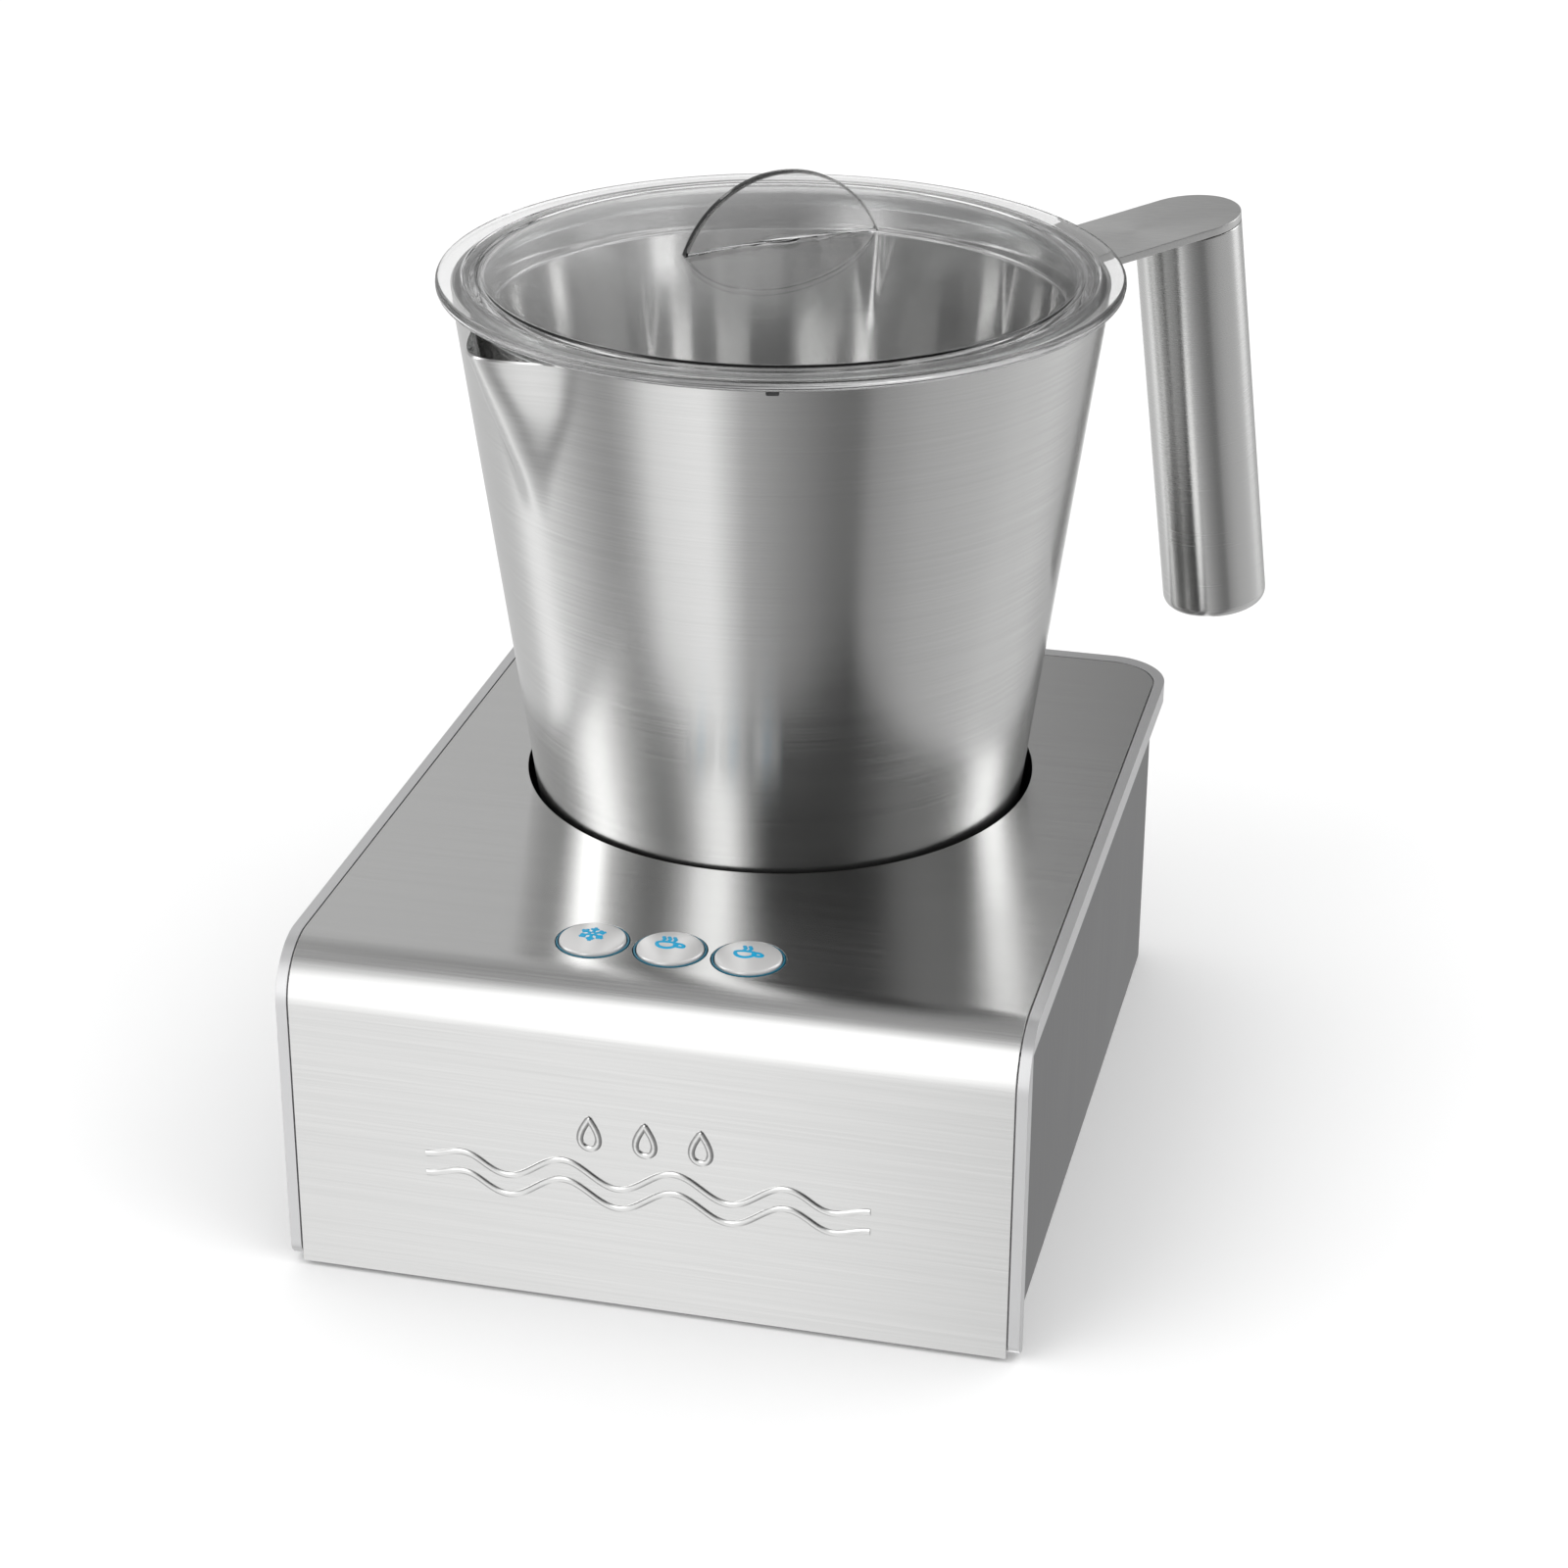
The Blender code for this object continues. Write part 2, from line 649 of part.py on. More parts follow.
def make_sensor():
    turned(
        "sensor_cap",
        [
            (0.0, 42.5 * MM), (2.7 * MM, 42.5 * MM), (3.2 * MM, 42.0 * MM), (3.2 * MM, 38.6 * MM),
            (4.4 * MM, 38.6 * MM), (4.4 * MM, 37.6 * MM), (1.5 * MM, 37.6 * MM), (1.5 * MM, 30 * MM),
            (0.0, 30 * MM),
        ],
        "aluminium", steps=16, place=(SENSOR_X, 0.0),
    )
    curve = bpy.data.curves.new("sensor_spring", "CURVE")
    curve.dimensions = "3D"
    curve.bevel_depth = 0.3 * MM
    curve.bevel_resolution = 1
    curve.use_fill_caps = True
    low, high = CARRIER_TOP + 0.6 * MM, 37.0 * MM
    turns, per_turn = 3, 10
    count = turns * per_turn
    spline = curve.splines.new("POLY")
    spline.points.add(count)
    for step, point in enumerate(spline.points):
        angle = 2 * math.pi * step / per_turn
        height = low + (high - low) * step / count
        point.co = (2.9 * MM * math.cos(angle), 2.9 * MM * math.sin(angle), height, 1.0)
    spring = bpy.data.objects.new("sensor_spring", curve)
    CUTTERS.objects.link(spring)
    spring.location = (SENSOR_X, 0.0, 0.0)
    as_mesh(spring, "zinc")


def make_fan():
    low = (FAN_X - FAN_HALF, FAN_Y - FAN_HALF, FAN_BOTTOM)
    high = (FAN_X + FAN_HALF, FAN_Y + FAN_HALF, FAN_TOP)
    frame = box("fan_frame", low, high, "black")
    cut(frame, cylinder("fan_duct", 18.6 * MM, 0.0, 20 * MM, (FAN_X, FAN_Y), steps=32))
    strut = 1.5 * MM
    bar_top = FAN_BOTTOM + 1.5 * MM
    reach = FAN_HALF - MM
    along_x = box(
        "fan_bar_x", (FAN_X - reach, FAN_Y - strut, FAN_BOTTOM), (FAN_X + reach, FAN_Y + strut, bar_top)
    )
    along_y = box(
        "fan_bar_y", (FAN_X - strut, FAN_Y - reach, FAN_BOTTOM), (FAN_X + strut, FAN_Y + reach, bar_top)
    )
    plate = cylinder("fan_motor_plate", 8 * MM, FAN_BOTTOM, bar_top, (FAN_X, FAN_Y), steps=20)
    join(frame, along_x, along_y, plate)

    hub = cylinder("fan_rotor", 8 * MM, bar_top + 0.5 * MM, FAN_TOP - 0.5 * MM, (FAN_X, FAN_Y), "black", 20)
    for index in range(5):
        blade = box(f"fan_blade_{index + 1}", (6 * MM, -0.5 * MM, -4.6 * MM), (17.6 * MM, 0.5 * MM, 4.6 * MM))
        turn = Matrix.Rotation(2 * math.pi * index / 5, 4, "Z")
        pitch = Matrix.Rotation(math.radians(50), 4, "X")
        blade.matrix_world = Matrix.Translation((FAN_X, FAN_Y, 11.2 * MM)) @ turn @ pitch
        join(hub, blade)


# ---------------------------------------------------------------- jug, whisk, handle


def wall_radius(height):
    """Outer radius of the jug's straight wall."""
    return JUG_TOP_RADIUS - JUG_TAPER * (JUG_TOP - height)


def spout_push(angle, height):
    """How far the pressed spout stands out of the round wall, on a V that narrows downwards."""
    rise = (height - SPOUT_BOTTOM) / (JUG_TOP - SPOUT_BOTTOM)
    away = abs((angle - SPOUT_ANGLE + math.pi) % (2 * math.pi) - math.pi)
    if rise <= 0 or away >= SPOUT_HALF_ANGLE * rise:
        return 0.0
    return SPOUT_REACH * rise * (1 - away / (SPOUT_HALF_ANGLE * rise))


def make_jug():
    rows = 4
    spout_rows = [SPOUT_BOTTOM + (JUG_TOP - SPOUT_BOTTOM) * (rows - row) / rows for row in range(rows + 1)]
    wall = [(wall_radius(height), height) for height in (*spout_rows, JUG_FOOT + JUG_CORNER)]
    corner_radius = wall[-1][0] - JUG_CORNER
    corner = arc((corner_radius, JUG_FOOT + JUG_CORNER), JUG_CORNER, 0, -90, 3)[1:]
    step = corner_radius - 2 * MM
    profile = [*wall, *corner, (step, JUG_FOOT), (step - 0.8 * MM, JUG_FLOOR), (0.0, JUG_FLOOR)]
    jug = as_mesh(turned("jug_body", profile, "steel", JUG_STEPS, start=SPOUT_ANGLE), "steel")
    for vertex in jug.data.vertices:
        x, y, height = vertex.co
        push = spout_push(math.atan2(y, x), height)
        if push:
            scale = 1 + push / math.hypot(x, y)
            vertex.co = (x * scale, y * scale, height)
    skin = jug.modifiers.new("sheet", "SOLIDIFY")
    skin.thickness = JUG_SHEET
    skin.offset = -1.0
    skin.use_even_offset = True

    turned(
        "jug_disc", ring_profile(18 * MM, step - 1.4 * MM, 42.8 * MM, JUG_FLOOR - GAP), "zinc",
        steps=36, ring=True,
    )
    pin_foot = JUG_FLOOR + JUG_SHEET + GAP
    turned(
        "whisk_pin",
        [
            (0.0, 60 * MM), (1.3 * MM, 60 * MM), (1.8 * MM, 59.2 * MM), (1.8 * MM, pin_foot + MM),
            (4 * MM, pin_foot + MM), (4 * MM, pin_foot), (0.0, pin_foot),
        ],
        "zinc", steps=16,
    )


def make_whisk():
    bore = 2.2 * MM
    hub_bottom = 47.2 * MM
    hub = turned(
        "whisk_hub",
        [
            (0.0, 63 * MM), (4 * MM, 62.6 * MM), (5 * MM, 61.6 * MM), (5.2 * MM, 53 * MM),
            (13 * MM, 51.8 * MM), (14 * MM, 50.8 * MM), (14 * MM, hub_bottom),
            (bore, hub_bottom), (bore, 60.8 * MM), (0.0, 60.8 * MM),
        ],
        "black", steps=24,
    )
    for index, side in enumerate((-1, 1), 1):
        place = (0.0, side * MAGNET_RING)
        cut(hub, cylinder(f"whisk_pocket_{index}", MAGNET_RADIUS + GAP, 46 * MM, 50 * MM, place, steps=16))
        cylinder(f"whisk_magnet_{index}", MAGNET_RADIUS, 47.4 * MM, 49.7 * MM, place, "zinc", 16)
    wire = 2.2 * MM
    section = arc((16.6 * MM, 49.6 * MM), wire, 90, -210, 5)
    turned("whisk_coil", section, "zinc", steps=28, ring=True)


def handle_frame():
    """Local X runs out along the arm, local Z stands on its top face, over the tube's axis."""
    place = (HANDLE_REACH * math.cos(HANDLE_ANGLE), HANDLE_REACH * math.sin(HANDLE_ANGLE), HANDLE_TOP)
    turn = Matrix.Rotation(HANDLE_ANGLE, 4, "Z")
    tilt = Matrix.Rotation(-HANDLE_TILT, 4, "Y")
    return Matrix.Translation(place) @ turn @ tilt


def make_handle():
    frame = handle_frame()
    inner_end = -36 * MM
    end = arc((0.0, 0.0), HANDLE_RADIUS, -90, 90, 14)
    outline = [(inner_end, -HANDLE_RADIUS), *end, (inner_end, HANDLE_RADIUS)]
    arm = slab("handle_arm", outline, -ARM_THICKNESS, 0.0, "steel")
    arm.matrix_world = frame @ arm.matrix_world
    clear = [(wall_radius(height) + GAP, height) for height in (195 * MM, 160 * MM)]
    around_jug = turned("arm_clearance", [(0.0, 195 * MM), *clear, (0.0, 160 * MM)], steps=72)
    cut(arm, around_jug)

    top, bottom = -ARM_THICKNESS - GAP, -HANDLE_LENGTH
    inner = HANDLE_RADIUS - HANDLE_WALL
    edge = 2.2 * MM
    end_bend = arc((HANDLE_RADIUS - edge, bottom + edge), edge, 0, -90, 3)
    tube = turned(
        "handle_tube",
        [
            (0.0, bottom + HANDLE_WALL), (inner - MM, bottom + HANDLE_WALL), (inner, bottom + edge),
            (inner, top), (HANDLE_RADIUS, top), *end_bend, (0.0, bottom),
        ],
        "steel", steps=32,
    )
    tube.matrix_world = frame


# ---------------------------------------------------------------- lid


def dome_height(radius, drop=0.0):
    sphere = (DOME_RADIUS**2 + DOME_RISE**2) / (2 * DOME_RISE)
    return DOME_EDGE + DOME_RISE - drop - sphere + math.sqrt(sphere**2 - radius**2)


def make_lid():
    upper = [(r * MM, dome_height(r * MM)) for r in (0, 22, 44)]
    lower = [(r * MM, dome_height(r * MM, DOME_WALL)) for r in (44, 22, 0)]
    half_edge = (LID_UPPER - LID_UNDER) / 2
    edge = arc((LID_RADIUS - half_edge, LID_UNDER + half_edge), half_edge, 90, -90, 2)
    lid = turned(
        "lid",
        [
            *upper, (DOME_RADIUS, DOME_EDGE), (DOME_RADIUS + 0.8 * MM, LID_UPPER), *edge,
            (64.6 * MM, LID_UNDER), (62.2 * MM, SKIRT_BOTTOM), (60.4 * MM, SKIRT_BOTTOM),
            (62.3 * MM, 183.6 * MM), (61.3 * MM, dome_height(61.3 * MM, DOME_WALL)),
            *lower,
        ],
        "clear", steps=56,
    )
    rise = GRIP_FOOT - GRIP_CENTRE
    start = math.degrees(math.asin(rise / GRIP_RADIUS))
    grip = slab(
        "lid_grip", arc((0.0, GRIP_CENTRE), GRIP_RADIUS, start, 180 - start, 14),
        -GRIP_HALF_THICKNESS, GRIP_HALF_THICKNESS, None, "X",
    )
    grip.matrix_world = Matrix.Rotation(HANDLE_ANGLE - math.pi / 2, 4, "Z") @ grip.matrix_world
    join(lid, grip)
    turned(
        "lid_seal",
        [
            (66.8 * MM, 183.8 * MM), (66.2 * MM, 182.4 * MM), (66.7 * MM, 181.2 * MM),
            (66.1 * MM, 180.4 * MM), (64.9 * MM, 180.4 * MM), (64.9 * MM, 183.8 * MM),
        ],
        "silicone", steps=44, ring=True,
    )


# ---------------------------------------------------------------- assembly


def pivot(name, place, parent=None):
    empty = bpy.data.objects.new(name, None)
    PARTS.objects.link(empty)
    empty.location = place
    empty.parent = parent
    return empty


def attach(parent, *names):
    """Parents pieces without moving them from where they were laid out about the well's axis."""
    bpy.context.view_layer.update()
    for name in names:
        item = bpy.data.objects[name]
        item.parent = parent
        item.matrix_parent_inverse = parent_offset(parent)


def parent_offset(parent):
    offset = Matrix.Identity(4)
    while parent:
        offset = offset @ Matrix.Translation(-parent.location)
        parent = parent.parent
    return offset


def assemble():
    base = pivot("frother_base", (0.0, 0.0, 0.0))
    jug = pivot("jug_lift", (0.0, 0.0, JUG_FOOT), base)
    lid = pivot("lid_lift", (0.0, 0.0, LID_UNDER - JUG_FOOT), jug)
    whisk = pivot("whisk_spin", (0.0, 0.0, 0.0), jug)
    rotor = pivot("rotor_spin", (0.0, 0.0, WELL_FLOOR_BOTTOM), base)
    fan = pivot("fan_spin", (FAN_X, FAN_Y, FAN_BOTTOM), base)
    sensor = pivot("sensor_press", (SENSOR_X, 0.0, WELL_FLOOR), base)
    attach(jug, "jug_body", "jug_disc", "whisk_pin", "handle_arm", "handle_tube")
    attach(lid, "lid", "lid_seal")
    attach(whisk, "whisk_hub", "whisk_coil", "whisk_magnet_1", "whisk_magnet_2")
    attach(rotor, "motor_shaft", "magnet_rotor", "drive_magnet_1", "drive_magnet_2")
    attach(fan, "fan_rotor")
    attach(sensor, "sensor_cap")
    for index, (x, y) in enumerate(button_places(), 1):
        button = pivot(f"button_press_{index}", (x, y, BASE_TOP), base)
        attach(button, f"button_{index}", f"switch_plunger_{index}")
    for item in (*PARTS.objects, *CUTTERS.objects):
        if item.parent is None and item is not base:
            attach(base, item.name)
    base.location = (AXIS_X, AXIS_Y, 0.0)


make_housing()
make_steel_cover()
make_well()
make_base_plate()
make_feet()
make_base_screws()
make_cord_gland()
make_buttons()
make_power_board()
make_coil()
make_drive()
make_sensor()
make_fan()
make_jug()
make_whisk()
make_handle()
make_lid()
assemble()
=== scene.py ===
import math

import bmesh
import bpy
from mathutils import Matrix, Vector


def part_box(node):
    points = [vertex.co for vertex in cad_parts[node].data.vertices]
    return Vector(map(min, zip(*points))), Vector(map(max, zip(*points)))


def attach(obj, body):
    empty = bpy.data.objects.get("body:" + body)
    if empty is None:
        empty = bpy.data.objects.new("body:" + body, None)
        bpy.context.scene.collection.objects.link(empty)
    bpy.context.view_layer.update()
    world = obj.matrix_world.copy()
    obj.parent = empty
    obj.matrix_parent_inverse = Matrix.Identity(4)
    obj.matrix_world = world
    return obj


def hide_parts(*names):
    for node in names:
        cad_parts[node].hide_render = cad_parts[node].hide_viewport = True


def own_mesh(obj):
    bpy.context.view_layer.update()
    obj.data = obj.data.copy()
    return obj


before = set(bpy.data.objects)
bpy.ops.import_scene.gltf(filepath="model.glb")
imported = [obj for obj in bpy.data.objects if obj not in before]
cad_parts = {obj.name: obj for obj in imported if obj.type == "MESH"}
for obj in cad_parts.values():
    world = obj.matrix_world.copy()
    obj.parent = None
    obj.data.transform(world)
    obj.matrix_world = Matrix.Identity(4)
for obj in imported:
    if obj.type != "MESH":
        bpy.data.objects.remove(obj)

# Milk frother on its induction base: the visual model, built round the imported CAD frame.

MM = 0.001
GAP = 0.3 * MM
# Edges sharper than this are bevelled
BEVEL_FROM = math.radians(38.0)
SCENE = bpy.context.scene
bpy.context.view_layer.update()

# The well's axis, which the base, the jug and the lid share
WELL_LOW, WELL_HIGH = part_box("well_cup")
AXIS = Vector(((WELL_LOW.x + WELL_HIGH.x) / 2, (WELL_LOW.y + WELL_HIGH.y) / 2, 0.0))

# Base, about the well's axis
BASE_HALF = 76.6 * MM
BASE_FRONT = -111.4 * MM
BASE_TOP = 73.0 * MM
BASE_BOTTOM = 1.0 * MM
REAR_RADIUS = 14.0 * MM
FRONT_RADIUS = 12.5 * MM
PANEL_INSET = 2.75 * MM
PANEL_HALF = BASE_HALF - PANEL_INSET
RIM_DROP = 4.7 * MM
RIM_LEG = 4.2 * MM
WALL = 2.5 * MM
SHEET = 0.8 * MM
SHEET_HALF = 74.0 * MM
SHEET_BACK = 72.9 * MM
SHEET_BACK_RADIUS = 11.0 * MM
DECK_BOTTOM = 69.4 * MM
WELL_HOLE = 55.8 * MM
WELL_HOLE_BACK = 1.0 * MM
# Cutters for holes in the deck and the steel reach from below it to above it
CUTTER_LOW, CUTTER_HIGH = 60 * MM, 80 * MM
WELL_RADIUS = 56.7 * MM
WELL_OUTER = 58.4 * MM
WELL_FLOOR = 42.0 * MM
WELL_BOTTOM = 40.0 * MM
WELL_TOP = 70.9 * MM
SEAL_INNER, SEAL_OUTER = 56.8 * MM, 58.3 * MM
SEAL_BOTTOM, SEAL_TOP = 71.2 * MM, 71.9 * MM
SPRING_LOW, SPRING_HIGH = 34.54 * MM, 37.0 * MM
SPRING_RADIUS = 2.9 * MM
SENSOR_X = -19.5 * MM
BUTTON_Y = -91.1 * MM
BUTTON_PITCH = 16.1 * MM
BUTTON_RADIUS = 6.8 * MM
BUTTON_HOLE = 7.6 * MM
BUTTON_UNDER = 70.2 * MM
BUTTON_SHOULDER = 73.55 * MM
BUTTON_STEM = 2.4 * MM
STEM_END = 65.4 * MM
CAP_CROWN = 74.6 * MM
CAP_FALL = 0.9 * MM
CAP_SPAN = 6.3 * MM
CAP_FLAT = 5.8 * MM
GLOW_INNER, GLOW_OUTER = 7.0 * MM, 7.4 * MM
GLOW_BOTTOM, GLOW_TOP = 64.0 * MM, 73.1 * MM
BUTTON_NAMES = ("left", "middle", "right")
GLAND = Vector((40.0 * MM, PANEL_HALF, 17.0 * MM))
GLAND_BORE = 3.2 * MM
GLAND_NECK = 5.0 * MM

# The mark on the front, in millimetres
WAVE_LEVELS = (31.0, 26.5)
WAVE_SPAN = 46.0
WAVE_SWING = 2.6
WAVE_STEPS = 120
WAVE_HALF_LENGTH = 11.5
DROP_PLACES = (-11.5, 0.0, 11.5)
DROP_LEVEL = 40.5
DROP_HALF_WIDTH, DROP_HALF_HEIGHT = 2.6, 3.4

# Jug, handle and lid, about the same axis
JUG_FOOT = 42.3 * MM
JUG_FLOOR = 44.3 * MM
JUG_TOP = 183.6 * MM
JUG_TOP_RADIUS = 68.7 * MM
JUG_TAPER = 0.1338
JUG_CORNER = 6.0 * MM
JUG_SHEET = 0.9 * MM
JUG_STEPS = 480
SPOUT_ROWS, SPOUT_ROWS_END = 40, 130 * MM
PLAIN_ROWS = (118 * MM, 104 * MM, 90 * MM, 76 * MM, 62 * MM)
SPOUT_ANGLE = math.radians(-127.5)
SPOUT_HALF_ANGLE = math.radians(12.8)
SPOUT_SWELL_ANGLE = math.radians(19.0)
SPOUT_REACH = 9.2 * MM
SPOUT_APEX = 151.0 * MM
HANDLE_ANGLE = math.radians(39.7)
HANDLE_TILT = math.radians(8.0)
HANDLE_REACH = 98.9 * MM
HANDLE_TOP = 185.5 * MM
HANDLE_RADIUS = 11.8 * MM
HANDLE_LENGTH = 94.0 * MM
HANDLE_WALL = 1.2 * MM
ARM_THICKNESS = 1.8 * MM
LID_RADIUS = 71.8 * MM
LID_UNDER = 184.1 * MM
LID_UPPER = 186.5 * MM
DOME_RADIUS = 63.3 * MM
DOME_EDGE = 186.3 * MM
DOME_RISE = 6.5 * MM
DOME_WALL = 2.0 * MM
SKIRT_BOTTOM = 176.0 * MM
GRIP_RADIUS = 23.9 * MM
GRIP_CENTRE = 183.4 * MM
GRIP_FOOT = 191.2 * MM
GRIP_HALF_THICKNESS = 1.1 * MM
STOP_ANGLE = math.radians(-167.5)
WHISK_RING = 16.6 * MM
WHISK_COIL = 1.8 * MM
WHISK_HEIGHT = 49.6 * MM

# Viewpoint: its turn, tilt and roll, and its place from the foot of the well's axis
CAMERA_TURN, CAMERA_TILT, CAMERA_ROLL = math.radians(13.67), math.radians(25.53), math.radians(0.22)
CAMERA_PLACE = Vector((0.1716, -0.7011, 0.4122))
CAMERA_LENS = 82.6

# Floor, and the point that both lights face, in metres
FLOOR_HALF, FLOOR_BOTTOM, FLOOR_TOP = 20.0, -0.02, -0.0002
LIGHT_AIM = Vector((0.0, 0.0, 0.08))


# ---------------------------------------------------------------- node materials

# How much of brushed metal's pattern is slow unevenness, and how much is grain
BROAD_SHARE, GRAIN_SHARE = 0.2, 0.8


class Nodes:
    """A material's node tree, with short ways to add and join nodes."""

    def __init__(self, name):
        self.material = bpy.data.materials.new(name)
        self.material.use_nodes = True
        self.tree = self.material.node_tree
        self.shader = self.tree.nodes["Principled BSDF"]

    def add(self, kind, **settings):
        node = self.tree.nodes.new(kind)
        for key, value in settings.items():
            setattr(node, key, value)
        return node

    def link(self, source, target):
        self.tree.links.new(source, target)

    def place(self, scale):
        """Object coordinates stretched by a factor for each axis."""
        mapping = self.add("ShaderNodeMapping")
        mapping.inputs["Scale"].default_value = scale
        self.link(self.add("ShaderNodeTexCoord").outputs["Object"], mapping.inputs["Vector"])
        return mapping.outputs["Vector"]

    def noise(self, scale, detail=4.0, roughness=0.6):
        node = self.add("ShaderNodeTexNoise")
        node.inputs["Scale"].default_value = 1.0
        node.inputs["Detail"].default_value = detail
        node.inputs["Roughness"].default_value = roughness
        self.link(self.place(scale), node.inputs["Vector"])
        return node.outputs["Fac"]

    def spread(self, source, low, high, start=0.3, end=0.7):
        """A noise's middle range spread between two numbers."""
        node = self.add("ShaderNodeMapRange")
        for socket, value in (("From Min", start), ("From Max", end), ("To Min", low), ("To Max", high)):
            node.inputs[socket].default_value = value
        self.link(source, node.inputs["Value"])
        return node.outputs["Result"]

    def tint(self, source, dark, light):
        """A colour between two by a number from 0 to 1."""
        node = self.add("ShaderNodeMix", data_type="RGBA")
        node.inputs["A"].default_value = (*dark, 1.0)
        node.inputs["B"].default_value = (*light, 1.0)
        self.link(source, node.inputs["Factor"])
        return node.outputs["Result"]

    def bump(self, source, distance, strength=1.0):
        node = self.add("ShaderNodeBump")
        node.inputs["Strength"].default_value = strength
        node.inputs["Distance"].default_value = distance
        self.link(source, node.inputs["Height"])
        self.link(node.outputs["Normal"], self.shader.inputs["Normal"])

    def put(self, **values):
        for key, value in values.items():
            self.shader.inputs[key.replace("_", " ")].default_value = value


def scaled(colour, factor):
    return tuple(channel * factor for channel in colour)


def brushed_metal(
    name, colour, roughness, fine, turn="Z", rotation=0.25, stretch=0.9, contrast=0.09, relief=0.003 * MM
):
    """Metal with drawn-out grain. fine gives how often the grain changes per metre along each axis."""
    made = Nodes(name)
    made.put(Metallic=1.0, Anisotropic=stretch, Anisotropic_Rotation=rotation)
    grain = made.noise(fine, detail=3.0, roughness=0.7)
    broad = made.noise(tuple(value * 0.09 for value in fine), detail=3.0)
    cloud = made.noise((14.0, 14.0, 14.0), detail=2.0)
    blend = made.add("ShaderNodeMath", operation="MULTIPLY_ADD")
    blend.inputs[1].default_value = BROAD_SHARE
    made.link(broad, blend.inputs[0])
    softer = made.add("ShaderNodeMath", operation="MULTIPLY")
    softer.inputs[1].default_value = GRAIN_SHARE
    made.link(grain, softer.inputs[0])
    made.link(softer.outputs[0], blend.inputs[2])
    both = blend.outputs[0]
    shade = made.tint(made.spread(both, 0.0, 1.0), scaled(colour, 1 - contrast), scaled(colour, 1 + contrast))
    made.link(shade, made.shader.inputs["Base Color"])
    rough = made.add("ShaderNodeMath", operation="ADD")
    made.link(made.spread(grain, -0.03, 0.03), rough.inputs[0])
    made.link(made.spread(cloud, roughness - 0.02, roughness + 0.02), rough.inputs[1])
    made.link(rough.outputs[0], made.shader.inputs["Roughness"])
    made.bump(both, relief)
    tangent = made.add("ShaderNodeTangent", direction_type="RADIAL", axis=turn)
    made.link(tangent.outputs["Tangent"], made.shader.inputs["Tangent"])
    return made.material


def moulded(name, colour, roughness, grain=1400.0, depth=0.02 * MM, vary=0.08, metallic=0.0, gloss=0.05):
    """Plastic, rubber or cast material: a fine grain, slow changes of tone and small changes of gloss."""
    made = Nodes(name)
    made.put(Metallic=metallic)
    fine = made.noise((grain, grain, grain), detail=2.0)
    broad = made.noise((30.0, 30.0, 30.0), detail=3.0)
    shade = made.tint(made.spread(broad, 0.0, 1.0), scaled(colour, 1 - vary), scaled(colour, 1 + vary))
    made.link(shade, made.shader.inputs["Base Color"])
    made.link(made.spread(fine, roughness - gloss, roughness + gloss), made.shader.inputs["Roughness"])
    made.bump(fine, depth, 0.6)
    return made.material


def clear(name, colour, roughness, ior, cloud=0.0):
    """See-through plastic, with faint unevenness from its mould."""
    made = Nodes(name)
    made.put(Metallic=0.0, IOR=ior, Transmission_Weight=1.0)
    wave = made.noise((18.0, 18.0, 18.0), detail=1.0)
    shade = made.tint(made.spread(wave, 0.0, 1.0), colour, scaled(colour, 1 - cloud))
    made.link(shade, made.shader.inputs["Base Color"])
    made.link(made.spread(wave, roughness, roughness + 0.004), made.shader.inputs["Roughness"])
    made.bump(wave, 0.02 * MM, 0.5)
    return made.material


def wound(name, colour, pitch):
    """Enamelled wire in rings about Z: bands across the radius, darkened between the turns as painted shade,
    with a little loss of polish.
    """
    made = Nodes(name)
    made.put(Metallic=1.0, Coat_Weight=0.6, Coat_Roughness=0.15)
    band = made.add("ShaderNodeTexWave", wave_type="RINGS", rings_direction="Z", wave_profile="SIN")
    band.inputs["Scale"].default_value = 1.0 / pitch
    band.inputs["Distortion"].default_value = 0.4
    made.link(made.place((1.0, 1.0, 1.0)), band.inputs["Vector"])
    # The grooves between turns are darkened to 0.45 of the colour: painted shade.
    made.link(made.tint(band.outputs["Fac"], scaled(colour, 0.45), colour), made.shader.inputs["Base Color"])
    dust = made.noise((220.0, 220.0, 220.0))
    made.link(made.spread(dust, 0.29, 0.43), made.shader.inputs["Roughness"])
    made.bump(band.outputs["Fac"], 0.15 * MM)
    return made.material


def circuit(name):
    """Green board with copper tracks under the lacquer."""
    made = Nodes(name)
    made.put(Coat_Weight=0.5, Coat_Roughness=0.12)
    cells = made.add("ShaderNodeTexVoronoi", distance="CHEBYCHEV", feature="DISTANCE_TO_EDGE")
    cells.inputs["Scale"].default_value = 1.0
    made.link(made.place((230.0, 230.0, 60.0)), cells.inputs["Vector"])
    track = made.spread(cells.outputs["Distance"], 1.0, 0.0, 0.03, 0.05)
    made.link(made.tint(track, (0.012, 0.12, 0.045), (0.05, 0.26, 0.09)), made.shader.inputs["Base Color"])
    dust = made.noise((600.0, 600.0, 600.0))
    made.link(made.spread(dust, 0.3, 0.45), made.shader.inputs["Roughness"])
    made.bump(track, 0.03 * MM)
    return made.material


STEEL = (0.66, 0.66, 0.655)

